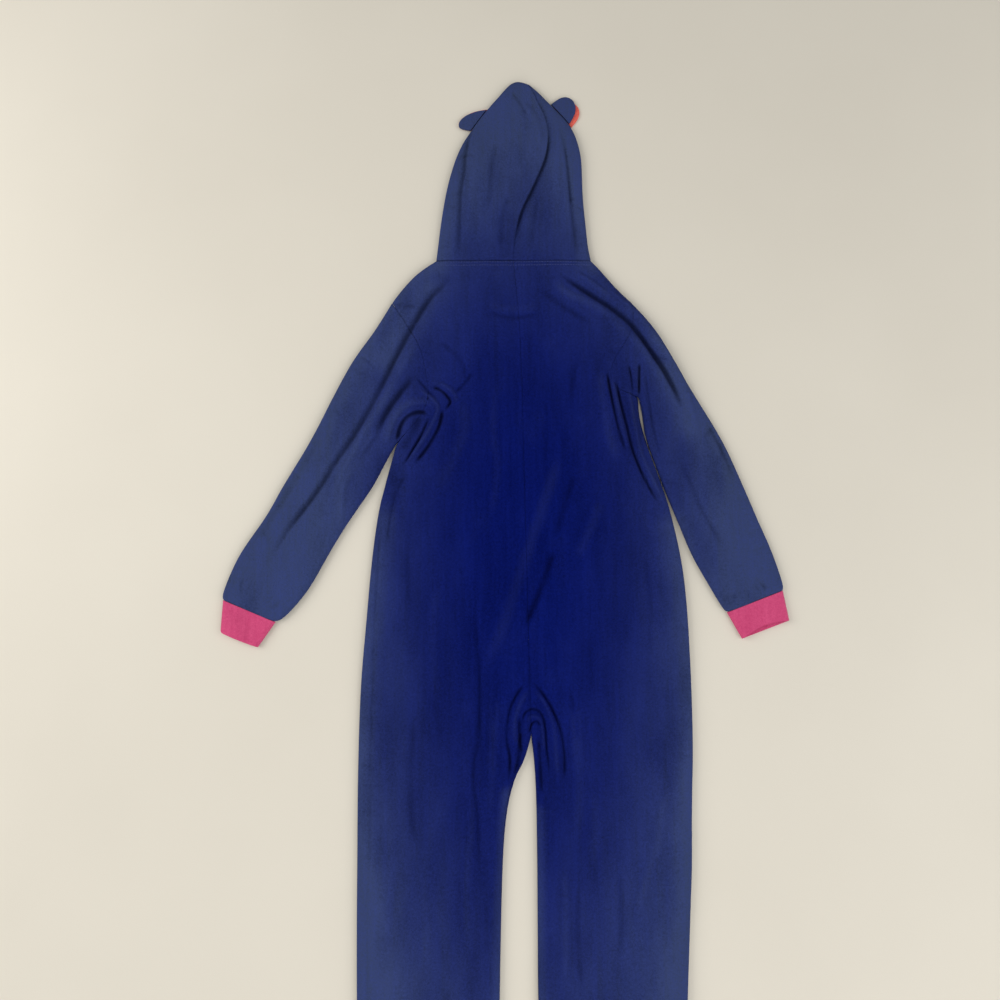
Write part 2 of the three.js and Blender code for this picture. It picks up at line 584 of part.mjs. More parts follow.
// A sleeve, from the armhole to the cuff
const SLEEVE_ROWS = 13;
const BLEND_ROWS = 2;
const ARMHOLE_EASE = 3;
const ARMHOLE_FADE = 0.6;
function sleeve(hand) {
  const { upper: seamUp, lower: seamLow } = seamPoints[hand];
  const weldFrom = seamLow.length;
  const shifted = ({ point, away }) => point.clone().addScaledVector(away, SEAM / 2);
  const border = [seamUp.at(-1), ...seamLow].map(shifted);
  const seamLength = armhole[hand].getLength() * (1 - cornerFraction(hand));
  const pathLength = seamLength + sleeveInner[hand].getLength();
  const outerLength = sleeveOuter[hand].getLength();
  const tipFirst = seamUp.map(shifted).reverse();
  const chord = (fraction) => tipFirst[0].clone().lerp(tipFirst.at(-1), fraction);
  const reach = [0];
  tipFirst.forEach((p, j) => j > 0 && reach.push(reach[j - 1] + p.distanceTo(tipFirst[j - 1])));
  const startFractions = reach.map((length) => length / reach.at(-1));
  const offsets = tipFirst.map((p, j) => p.clone().sub(chord(startFractions[j])));
  const [outer, facing] = [[], []];
  const name = hand === 'left' ? 'Left' : 'Right';
  const total = weldFrom + SLEEVE_ROWS;
  for (let r = 0; r < total; r += 1) {
    const free = Math.max(r - weldFrom, 0) / SLEEVE_ROWS;
    const endStop = 1 - SLEEVE_TUCK / outerLength;
    const innerStop = 1 - SLEEVE_TUCK / sleeveInner[hand].getLength();
    const along = r < weldFrom ? seamLength * r / weldFrom : seamLength + (pathLength - seamLength) * free;
    const fraction = r === total - 1 ? endStop : Math.min(along / pathLength, endStop);
    const innerPoint = r <= weldFrom ? border[r].clone()
      : sleeveInner[hand].getPointAt(r === total - 1 ? innerStop : Math.min(free, innerStop));
    const outerPoint = r === 0 ? tipFirst.at(-1).clone() : sleeveOuter[hand].getPointAt(fraction);
    const width = outerPoint.distanceTo(innerPoint);
    const { upper: spread } = sleeveFractions(width);
    const blend = THREE.MathUtils.smoothstep(r, 0, weldFrom + BLEND_ROWS);
    const plan = spread.map((fractionAcross, j) => {
      const f = THREE.MathUtils.lerp(startFractions[j], fractionAcross, blend);
      const point = innerPoint.clone().lerp(outerPoint, f);
      return point.addScaledVector(offsets[j], (1 - fraction) ** ARMHOLE_EASE * (1 - blend * ARMHOLE_FADE));
    });
    const welded = r >= weldFrom;
    const middle = innerPoint.clone().lerp(outerPoint, 0.5);
    const seamAt = (j) => {
      const rowSeam = r > 0 && r < weldFrom && j === 0 ? seamLow[r - 1] : null;
      return (r === 0 ? seamUp[seamUp.length - 1 - j] : rowSeam)?.point;
    };
    const edgeOut = (chain, p, j) => (
      r === 0 && j > 0 ? tipNormal(hand, middle) : edgeNormal(chain, p.x, p.y, middle)
    );
    const top = plan.map((p, j) => {
      const onEdge = j === plan.length - 1 || (j === 0 && welded);
      const chain = edges[`${j === 0 ? 'inner' : 'outer'}${name}`];
      const at = seamAt(j) ?? p;
      return {
        point: new THREE.Vector3(p.x, p.y, onEdge ? EDGE_HEIGHT : topHeight(at.x, at.y)),
        normal: onEdge ? edgeOut(chain, p, j) : slopeNormal(topHeight, at.x, at.y, 1),
      };
    });
    const under = plan.map((p, j) => ({ p, at: seamAt(j) ?? p })).filter((_, j) => j % 2 === 0);
    const below = under.slice(0, -1).reverse().map(({ p, at }, k, list) => {
      if (k === list.length - 1 && welded) {
        return top[0];
      }
      return {
        point: new THREE.Vector3(p.x, p.y, floorHeight(at.x, at.y)),
        normal: slopeNormal(floorHeight, at.x, at.y, -1),
      };
    });
    outer.push([...top, ...below].map((entry) => entry.point));
    facing.push([...top, ...below].map((entry) => entry.normal));
  }
  const last = cuffRing(hand, 0, -SEAM / 2);
  outer.push(last.map((entry) => entry.point));
  facing.push(last.map((entry) => entry.normal));
  return clothWall(outer, facing, weldFrom);
}

// A cuff: a short flattened tube
const CUFF_ROWS = [0, 0.12, 0.4, 0.7, 0.93, 1];
function cuff(hand) {
  const rings = CUFF_ROWS.map((fraction) => cuffRing(hand, fraction, fraction === 0 ? SEAM / 2 : 0));
  return clothWall(
    rings.map((ring) => ring.map((entry) => entry.point)),
    rings.map((ring) => ring.map((entry) => entry.normal)), 0,
  );
}

// Sections of the hood run from the foot of the centre fold over the outline to the face opening
const HOOD_ROWS = 15;
const FOLD_SHRINKS = 0.7;
function hoodSection(hand, fraction) {
  const sign = hand === 'left' ? -1 : 1;
  const outline = hand === 'left' ? hoodLeft : hoodRight;
  const foot = hoodFold.getPointAt(fraction);
  const rim = outline.getPointAt(Math.min(fraction, 1));
  const inward = rim.clone().sub(foot).normalize();
  const edge = faceEdge.getPointAt(fraction);
  const half = Math.max(faceHalf(edge.y), SEAM / 2);
  const opening = edge.clone().add(new THREE.Vector3(sign * half, 0, 0));
  if (fraction === 0) {
    [foot, rim, opening].forEach((p) => p.setY(NECK_Y + SEAM / 2));
  }
  if (fraction === 1) {
    [foot, rim].forEach((p) => p.add(new THREE.Vector3(sign * SEAM / 2, 0, 0)));
  }
  const run = hoodFold.getTangentAt(fraction);
  const back = new THREE.Vector3(-run.y, run.x, 0);
  const shrink = THREE.MathUtils.lerp(1, FOLD_END, THREE.MathUtils.smoothstep(fraction, FOLD_SHRINKS, 1));
  const rimNormal = fraction === 1 ? rim.clone().sub(opening).setZ(0).normalize()
    : edgeNormal(edges[hand === 'left' ? 'hoodLeft' : 'hoodRight'], rim.x, rim.y, foot);
  return { foot, rim, inward, opening, back, shrink, rimNormal };
}

// Rise of the left side's fold at a distance from its foot
function foldLift(distance, shrink) {
  const t = THREE.MathUtils.clamp((distance / shrink - FOLD_DEPTH) / FOLD_SLOPE, 0, 1);
  return FOLD_LIFT * (1 - t * t * (3 - 2 * t));
}

// The lower layer of a hood section, from the rim to the face opening
const HOOD_UNDER = [FLOOR_FIRST, FLOOR_ROLL + 1];
const HOOD_UNDER_INSIDE = 3;
function hoodUnder({ rim, opening }) {
  const reach = opening.clone().sub(rim);
  const width = reach.length();
  const direction = reach.normalize();
  const rest = Array.from({ length: HOOD_UNDER_INSIDE }, (_, k) => (
    HOOD_UNDER[1] + (width - HOOD_UNDER[1]) * (k + 1) / HOOD_UNDER_INSIDE
  ));
  return [...HOOD_UNDER, ...rest].map((distance) => {
    const p = rim.clone().addScaledVector(direction, distance);
    return {
      point: p.clone().setZ(floorHeight(p.x, p.y)),
      normal: slopeNormal(floorHeight, p.x, p.y, -1),
    };
  });
}

// Left side: turned back under itself at the foot of the fold, over the top and round to the face
// opening
const TURN_RADIUS = FOLD_LIFT / 2 - SEAM / 2;
const HOOD_TOP_INSIDE = 6;
function hoodLeftSection(fraction) {
  const section = hoodSection('left', fraction);
  const { foot, rim, inward, back, shrink, rimNormal } = section;
  const width = rim.distanceTo(foot);
  const depth = FOLD_DEPTH * shrink;
  const clear = SEAM + FOLD_CLEAR;
  const behind = (distance) => foot.clone().addScaledVector(back, distance);
  const under = (distance) => {
    const p = behind(distance);
    const normal = slopeNormal(topHeight, p.x, p.y, 1).negate();
    return { point: p.clone().setZ(topHeight(p.x, p.y) + clear), normal };
  };
  const turn = (angle) => {
    const p = behind(TURN_RADIUS - TURN_RADIUS * Math.cos(angle));
    const centre = behind(TURN_RADIUS);
    const z = topHeight(centre.x, centre.y) + clear + TURN_RADIUS * (1 + Math.sin(angle));
    const normal = back.clone().multiplyScalar(-Math.cos(angle)).setZ(Math.sin(angle));
    return { point: p.setZ(z), normal };
  };
  const lift = (x, y) => {
    const away = new THREE.Vector3(x, y, 0).sub(foot).dot(inward);
    const near = THREE.MathUtils.clamp((edgeDistance(x, y) - TOP_FIRST) / TOP_ROLL, 0, 1);
    return topHeight(x, y) + (FOLD_CLEAR + foldLift(away, shrink)) * near;
  };
  const lifted = (p) => ({
    point: p.clone().setZ(lift(p.x, p.y)), normal: slopeNormal(lift, p.x, p.y, 1),
  });
  const start = Math.max(depth, TURN_RADIUS * 2);
  const span = width - TOP_ROLL - start;
  const top = Array.from({ length: HOOD_TOP_INSIDE + 1 }, (_, k) => start + span * k / HOOD_TOP_INSIDE);
  const along = (distance) => foot.clone().addScaledVector(inward, distance);
  return [
    under(depth), under((depth + TURN_RADIUS) / 2), under(TURN_RADIUS),
    turn(-Math.PI / 4), turn(0), turn(Math.PI / 4),
    lifted(behind(TURN_RADIUS)), ...[...top, width - TOP_FIRST].map((distance) => lifted(along(distance))),
    { point: rim.clone().setZ(EDGE_HEIGHT), normal: rimNormal }, ...hoodUnder(section),
  ];
}

// Right side: from under the fold, over the top and round to the face opening
function hoodRightSection(fraction) {
  const section = hoodSection('right', fraction);
  const { foot, rim, inward, back, shrink, rimNormal } = section;
  const width = rim.distanceTo(foot);
  const at = (distance) => foot.clone().addScaledVector(inward, distance);
  const span = width - TOP_ROLL;
  const inside = Array.from({ length: HOOD_TOP_INSIDE }, (_, k) => at(span * k / (HOOD_TOP_INSIDE - 1)));
  const hidden = foot.clone().addScaledVector(back, FOLD_DEPTH * shrink);
  const top = [hidden, ...inside, at(width - TOP_FIRST)].map((p) => ({
    point: p.clone().setZ(topHeight(p.x, p.y)),
    normal: slopeNormal(topHeight, p.x, p.y, 1),
  }));
  return [...top, { point: rim.clone().setZ(EDGE_HEIGHT), normal: rimNormal }, ...hoodUnder(section)];
}

function hood(section) {
  const rows = Array.from({ length: HOOD_ROWS + 1 }, (_, k) => section(k / HOOD_ROWS));
  return clothWall(
    rows.map((row) => row.map((entry) => entry.point)),
    rows.map((row) => row.map((entry) => entry.normal)),
  );
}

// Ears: the two ends of the base on the hood's outline, its gap there, how far the ear stands out,
// how far it leans along the base and how far its front layer shows past its back
const EARS = {
  left: { base: [[-21.5, 613.5], [-45.5, 579]], seat: -0.6, length: 23, lean: 17, shift: [0, 0] },
  right: { base: [[79.5, 622], [107, 589.5]], seat: 0.4, length: 30, lean: -5, shift: [2.7, -3.2] },
};
const EAR_ROWS = [0, 0.2, 0.45, 0.68, 0.85, 0.95, 0.99];
const EAR_COLUMNS = 8;
function ear(hand, layer) {
  const { base, seat, length, lean, shift } = EARS[hand];
  const [a, b] = base.map(flat);
  const across = b.clone().sub(a);
  const half = across.length() / 2;
  const along = across.clone().normalize();
  const turn = hand === 'left' ? 1 : -1;
  const out = new THREE.Vector3(along.y * turn, -along.x * turn, 0);
  const root = a.clone().add(b).multiplyScalar(0.5).addScaledVector(out, seat);
  const isBack = layer === 'back';
  const offset = isBack ? [0, 0] : shift;
  const rows = EAR_ROWS.map((v) => {
    const reach = half * Math.sqrt(1 - v ** EAR_ROUND) * (1 + EAR_TAPER * Math.sin(Math.PI * v));
    return Array.from({ length: EAR_COLUMNS + 1 }, (_, j) => {
      const u = -Math.cos(Math.PI * j / EAR_COLUMNS);
      const p = root.clone().addScaledVector(out, length * v).addScaledVector(along, reach * u + lean * v);
      p.add(new THREE.Vector3(offset[0] * v, offset[1] * v, 0));
      const puff = EAR_PUFF * Math.sqrt(1 - u * u) * Math.sqrt(1 - v * v);
      return p.setZ(isBack ? 2 * EAR_WALL + SEAM + puff : 0);
    });
  });
  const up = new THREE.Vector3(0, 0, isBack ? 1 : -1);
  return clothWall(rows, rows.map((row) => row.map(() => up)), Infinity, EAR_WALL);
}

// Zip pieces are built about the pivot of the pull, +Y along the zip, and turned onto the centre front line
const zipTurn = Math.atan2(CROTCH_X - NECK_X, NECK_Y - CROTCH_Y);

function tape(hand) {
  const sign = hand === 'left' ? -1 : 1;
  const length = ZIP_TOP - ZIP_END - TAPE_SHORTER;
  const strip = new THREE.BoxGeometry(TAPE_WIDTH, length, TAPE_THICK, 2, 24, 1);
  strip.translate(
    sign * (TAPE_GAP + TAPE_WIDTH) / 2, ZIP_TOP - PIVOT_Y - length / 2,
    WALL + SEAM + TAPE_THICK / 2 - PIVOT_Z,
  );
  return strip;
}

// Extrude an outline in the zip's side view, given as distances along the zip and heights from the pivot
function sideExtrude(points, width, holes = []) {
  const shape = new THREE.Shape(points.map(([y, z]) => new THREE.Vector2(y, z)));
  shape.holes.push(...holes);
  const body = new THREE.ExtrudeGeometry(shape, { depth: width, bevelEnabled: false, curveSegments: 5 });
  body.translate(0, 0, -width / 2);
  body.applyMatrix4(new THREE.Matrix4().makeBasis(
    new THREE.Vector3(0, 1, 0), new THREE.Vector3(0, 0, 1), new THREE.Vector3(1, 0, 0),
  ));
  return body;
}

const circle = (radius, steps) => Array.from({ length: steps }, (_, k) => {
  const angle = 2 * Math.PI * k / steps;
  return [radius * Math.cos(angle), radius * Math.sin(angle)];
});

const box = (wide, long, tall, x, y, z) => new THREE.BoxGeometry(wide, long, tall).translate(x, y, z);

// Join closed pieces into one
function joined(pieces) {
  const solids = pieces.map((piece) => {
    const position = piece.getAttribute('position');
    const index = piece.getIndex();
    const corners = new Map();
    const vertices = [];
    const order = [];
    const count = index ? index.count : position.count;
    for (let k = 0; k < count; k += 1) {
      const at = index ? index.getX(k) : k;
      const p = [position.getX(at), position.getY(at), position.getZ(at)];
      const key = p.map((v) => v.toFixed(4)).join();
      if (!corners.has(key)) {
        corners.set(key, vertices.length / 3);
        vertices.push(...p);
      }
      order.push(corners.get(key));
    }
    return new wasm.Manifold(new wasm.Mesh({
      numProp: 3, vertProperties: new Float32Array(vertices), triVerts: new Uint32Array(order),
    }));
  });
  const mesh = solids.reduce((sum, solid) => sum.add(solid)).getMesh();
  const triples = Array.from({ length: mesh.triVerts.length / 3 }, (_, k) => (
    [...mesh.triVerts.slice(3 * k, 3 * k + 3)]
  ));
  return geometryFrom([...mesh.vertProperties], triples);
}

// Slider: a plate on each side of the tapes, the wedge between them and the eye that holds the pull
const PLATE_WIDE = 9;
const PLATE_LONG = 10;
const PLATE_THICK = 0.9;
const EYE_INNER = 0.95;
const EYE_OUTER = 1.35;
const EYE_WIDE = 2;
const PLATE_FRONT = 1.3;
const PLATE_BACK_OFF = 1.2;
const REAR_SMALLER = 1;
const WEDGE_SHORTER = 4;
const WEDGE_OFF = 1;
function slider() {
  const front = PLATE_FRONT - PIVOT_Z;
  const rear = WALL + SEAM + TAPE_THICK + SEAM - PIVOT_Z;
  const middle = -PLATE_BACK_OFF - PLATE_LONG / 2;
  const eyeHole = new THREE.Path(circle(EYE_INNER, 14).map(([y, z]) => new THREE.Vector2(y, z)));
  return joined([
    box(PLATE_WIDE, PLATE_LONG, PLATE_THICK, 0, middle, front + PLATE_THICK / 2),
    box(
      PLATE_WIDE - REAR_SMALLER, PLATE_LONG - REAR_SMALLER, PLATE_THICK,
      0, middle, rear + PLATE_THICK / 2,
    ),
    box(
      TAPE_GAP - 2 * SEAM, PLATE_LONG - WEDGE_SHORTER, rear - front,
      0, middle + WEDGE_OFF, (rear + front + PLATE_THICK) / 2,
    ),
    sideExtrude(circle(EYE_OUTER, 18), EYE_WIDE, [eyeHole]),
  ]);
}

// Pull: a pin through the eye, an arm on each side of it and the tab that hangs from them
const PIN_RADIUS = 0.6;
const ARM_WIDE = 0.8;
const ARM_OUT = EYE_WIDE / 2 + SEAM;
const TAB_WIDE = 6.4;
const TAB_LONG = 24;
const TAB_THICK = 0.7;
const TAB_START = 3;
const TAB_SHOULDER = 8;
const TAB_HOLE = 1.5;
const HOLE_INSET = 1;
const ARM_HALF = 0.42;
function pull() {
  const low = -PIVOT_Z + SEAM;
  const rise = low + TAB_THICK;
  const root = -TAB_START - ARM_HALF;
  const arm = [
    [0.3, -0.5], [ARM_HALF, ARM_HALF], [-ARM_HALF, ARM_HALF], [-PIN_RADIUS, -0.05],
    [-0.95, rise], [root, rise], [root, low], [-0.8, low],
  ];
  const side = (sign) => sideExtrude(arm, ARM_WIDE).translate(sign * (ARM_OUT + ARM_WIDE / 2), 0, 0);
  const outline = new THREE.Shape();
  const half = TAB_WIDE / 2;
  outline.moveTo(-ARM_OUT - ARM_WIDE, -TAB_START);
  outline.lineTo(-half, -TAB_SHOULDER);
  outline.lineTo(-half, -TAB_LONG + half);
  outline.absarc(0, -TAB_LONG + half, half, Math.PI, 2 * Math.PI, false);
  outline.lineTo(half, -TAB_SHOULDER);
  outline.lineTo(ARM_OUT + ARM_WIDE, -TAB_START);
  const hole = new THREE.Path();
  hole.absarc(0, -TAB_LONG + half + HOLE_INSET, TAB_HOLE, 0, 2 * Math.PI, true);
  outline.holes.push(hole);
  const depth = { depth: TAB_THICK, bevelEnabled: false, curveSegments: 8 };
  const tab = new THREE.ExtrudeGeometry(outline, depth).translate(0, 0, low);
  return joined([
    tab, side(-1), side(1), sideExtrude(circle(PIN_RADIUS, 12), 2 * (ARM_OUT + ARM_WIDE)),
  ]);
}

const material = (finish) => new THREE.MeshStandardMaterial(finish);
const materials = {
  fleece: material(FLEECE),
  cuff: material(PINK),
  ear: material(CORAL),
  tape: material(TAPE),
  metal: material(METAL),
};
const garment = new THREE.Group();
function add(parent, name, geometry, finish) {
  const mesh = new THREE.Mesh(geometry, materials[finish]);
  mesh.name = name;
  parent.add(mesh);
}

for (const hand of ['left', 'right']) {
  add(garment, `back_${hand}`, backPanel(hand), 'fleece');
  add(garment, `front_${hand}`, frontPanel(hand), 'fleece');
  add(garment, `sleeve_${hand}`, sleeve(hand), 'fleece');
  add(garment, `cuff_${hand}`, cuff(hand), 'cuff');
  add(garment, `ear_${hand}_back`, ear(hand, 'back'), 'fleece');
  add(garment, `ear_${hand}_front`, ear(hand, 'front'), 'ear');
}
add(garment, 'hood_left', hood(hoodLeftSection), 'fleece');
add(garment, 'hood_right', hood(hoodRightSection), 'fleece');

const zip = new THREE.Group();
zip.position.set(centreFrontX(PIVOT_Y), PIVOT_Y, PIVOT_Z);
zip.rotation.z = zipTurn;
for (const hand of ['left', 'right']) {
  add(zip, `zip_tape_${hand}`, tape(hand), 'tape');
}
add(zip, 'zip_slider', slider(), 'metal');
add(zip, 'zip_pull', pull(), 'metal');
garment.add(zip);

// The origin is the middle of the garment's outline, on the surface
const group = new THREE.Group();
group.add(garment);
const extent = new THREE.Box3().setFromObject(group);
garment.position.set(-(extent.min.x + extent.max.x) / 2, -(extent.min.y + extent.max.y) / 2, 0);

export default group;
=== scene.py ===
"""A hooded fleece onesie laid face down on a pale surface.

Metres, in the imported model's frame. The tables are in millimetres in the plan, measured from a
point in the middle of the upper back, with x to the picture's right and y towards the hood.
"""
import math
import random

import bpy
import numpy as np
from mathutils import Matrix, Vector, noise
from mathutils.bvhtree import BVHTree


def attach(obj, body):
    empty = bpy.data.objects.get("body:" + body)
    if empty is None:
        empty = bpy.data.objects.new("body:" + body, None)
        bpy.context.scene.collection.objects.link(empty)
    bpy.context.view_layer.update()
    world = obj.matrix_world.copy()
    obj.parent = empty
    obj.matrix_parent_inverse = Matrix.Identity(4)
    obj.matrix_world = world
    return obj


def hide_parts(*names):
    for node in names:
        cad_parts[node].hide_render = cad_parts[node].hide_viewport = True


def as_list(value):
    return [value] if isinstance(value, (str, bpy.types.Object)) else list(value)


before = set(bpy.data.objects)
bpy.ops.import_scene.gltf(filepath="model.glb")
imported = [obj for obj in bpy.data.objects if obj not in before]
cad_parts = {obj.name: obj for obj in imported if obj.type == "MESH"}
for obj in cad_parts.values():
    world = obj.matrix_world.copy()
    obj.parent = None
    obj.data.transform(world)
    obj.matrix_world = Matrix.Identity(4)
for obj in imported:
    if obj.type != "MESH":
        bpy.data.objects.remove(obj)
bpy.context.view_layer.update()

MM = 0.001

# The tables' starting point in the frame, in millimetres
START_X = -6.866
START_Y = 148.268

# The laid cloth, in millimetres
WALL = 2.2
LAID_HEIGHT = 8.0
EDGE_HEIGHT = 4.0
CLEAR = 0.3
LOFT = 1.5

# How creases take hold: the height over which the upper layer's grow from the edge, where the lower
# layer's end and over how much height, and how softly the upper layer stops above the lower one
HOLD_OVER = 1.5
LOWER_TOP = 3.6
LOWER_FADE = 1.4
SOFT_STOP = 0.25

# How much wider a crease is on the cloth's inside and where it presses on the lower layer, and the
# depth at which it flattens that layer's own creases
INSIDE_WIDER = 3.0
PRESS_WIDER = 4.0
PRESS_DEPTH = 1.6

# A crease along its way: the shares over which it fades in and out, how uneven it is, how often
# that turns, how much the turn shifts from one crease to the next, the power that narrows a
# trough, and the factor on what stands above the laid cloth's level
FADE_IN = 0.16
FADE_OUT = 0.2
UNEVEN = 0.16
UNEVEN_TURN = 9
UNEVEN_SHIFT = 2.3
TROUGH_SHARP = 1.5
RIDGE_GAIN = 1.15

# Slow unevenness of the laid cloth: height, size across and along it, and seed
DRIFTS = [(0.55, 34, 70, 1.0), (0.28, 13, 22, 5.0)]

# Share of its height that the hood's centre fold keeps, from the neck to the peak
FOLD_HEIGHTS = [(363, 0.12), (385, 0.25), (415, 0.75), (440, 1.0), (560, 1.0), (590, 0.6), (625, 0.35)]

# The hood's peak is drawn out to a blunt point: from where, over how far and by how much
PEAK_FROM = 628.0
PEAK_OVER = 30.0
PEAK_RISE = 4.2

# Painted sheen, a pale tone added to the cloth's colour, least at a place on the back: where that is,
# over how many millimetres it grows to the sides, towards the hood and towards the legs, what an edge
# adds, the power it grows with, the most it grows to, and what the ears add
PAINTED_SHEEN_PLACE = (35.0, -20.0)
PAINTED_SHEEN_ACROSS = 285.0
PAINTED_SHEEN_UP = 560.0
PAINTED_SHEEN_DOWN = 900.0
PAINTED_SHEEN_BY_EDGE = 0.36
PAINTED_SHEEN_CURVE = 1.45
PAINTED_SHEEN_MOST = 1.1
EAR_PAINTED_SHEEN = 0.6

# The crease depth at which the painted shade in a trough is darkest and the painted sheen on a ridge
# palest, in millimetres
CREASE_RANGE = 3.0

# The camera: how far it stands from the point it looks at, and how far it leans from straight above
LENS = 27.04
SENSOR = 36.0
CAMERA_AWAY = 1.089
CAMERA_LEAN = math.radians(8)

# Seams and rows of stitches, in millimetres
NECK_Y = 363.0
NECK_ROWS = (2.6, 7.6)
NECK_ENDS = (-95, 136)
HEM_Y = -956.0
HEM_ROWS = (19.0, 22.5)
HEM_ENDS = {"left": (-175, -19), "right": (67, 228)}

# One stitch, in millimetres: how proud of the cloth it lies, the step between its ends above which
# it is left out, and the height from which the cloth under it is looked for
STITCH_LONG = 2.9
STITCH_PITCH = 3.9
STITCH_THICK = 0.55
STITCH_PROUD = 0.08
STITCH_STEP = 1.2
RAY_HEIGHT = 60

# A stitch's sides, where it starts in its pitch, its body and each tip as shares of its length, how
# much of its thickness a tip loses on each side, and how squarely a face looks along it to be a tip
STITCH_SIDES = 8
STITCH_START = 0.14
STITCH_BODY = 0.72
STITCH_TIP = 0.14
STITCH_TIP_INSET = 0.22
FACING_ALONG = 0.9

# The zip, in millimetres
ZIP_TOP = (20.431, 350.0)
ZIP_FOOT = (39.0, -201.0)
TOOTH = (2.5, 0.85, 1.5)
TOOTH_ROUND = 0.26
TOOTH_PITCH = 1.5
TOOTH_ASIDE = 0.95
TOOTH_FIRST = 13.5
TOOTH_Z = 2.85

# Room that the upper layer keeps over the zip: its height, how far it reaches to the sides and over
# how much it slopes, at the tapes and at the slider, and the slider's share of the zip's length
ZIP_SINK_ROOM = 1.2
TAPE_REACH = 22
TAPE_SLOPE = 8
SLIDER_REACH = 14
SLIDER_SLOPE = 6
SLIDER_SHARE = 0.06
SLIDER_FADE = 0.02

# Making the cloth pieces' meshes: how near doubles lie, in millimetres, angles in degrees, and how
# much a face has to look up to be cut finer
SAME_POINT = 0.02
QUAD_FACE_ANGLE = 100
QUAD_SHAPE_ANGLE = 120
SHARP_EDGE_ANGLE = 75
SMOOTH_ANGLE = 65
FACING_UP = 0.4

# The finishes' patterns, in turns for each metre
FIBRE_SCALE = 1250.0
PILL_SCALE = 330.0
CLUMP_SCALE = 420.0
PATCH_SCALE = 15.0
STREAK_SCALE = 160.0
TWIST_SCALE = 900.0
RIB_SCALE = 420.0
CORD_SCALE = 300.0
FUZZ_SCALE = 900.0
SCUFF_SCALE = 1600.0
DULL_SCALE = 260.0
WORN_SCALE = 900.0
SOFT_SCALE = 2.2
LINEN_SCALE = 700.0

# How deep the finishes' bumps are, in metres
NAP_DEPTH = 0.0011
TWIST_DEPTH = 0.0001
WEAVE_DEPTH = 0.00025
SCUFF_DEPTH = 0.00003
FLOOR_DEPTH = 0.0006

# What all the fleeces share
FLEECE_GLOSS = 0.01
SHEEN_ROUGH = 0.5

# What the nap's patterns add to its shade and height, and the painted shade in troughs and painted
# sheen on ridges
FINE_SHADE = 2.6
STREAK_SHADE = 0.7
PAINTED_TROUGH_SHADE = 0.68
PAINTED_RIDGE_SHEEN = 0.15
FINE_HEIGHT = 0.8
CLUMP_HEIGHT = -0.5
STREAK_HEIGHT = 0.9

# The floor, in metres, and how far it lies below the cloth, in millimetres
FLOOR_SIZE = 14
FLOOR_DROP = 0.1

# The room's own light
ROOM_COLOUR = (0.93, 0.93, 0.90, 1.0)
ROOM_STRENGTH = 0.49


def spot(x, y, z=0.0):
    """A point of the tables, in the frame."""
    return Vector(((x + START_X) * MM, (y + START_Y) * MM, z * MM))


def pick(piece):
    """Select one object alone."""
    bpy.ops.object.select_all(action="DESELECT")
    bpy.context.view_layer.objects.active = piece
    piece.select_set(True)


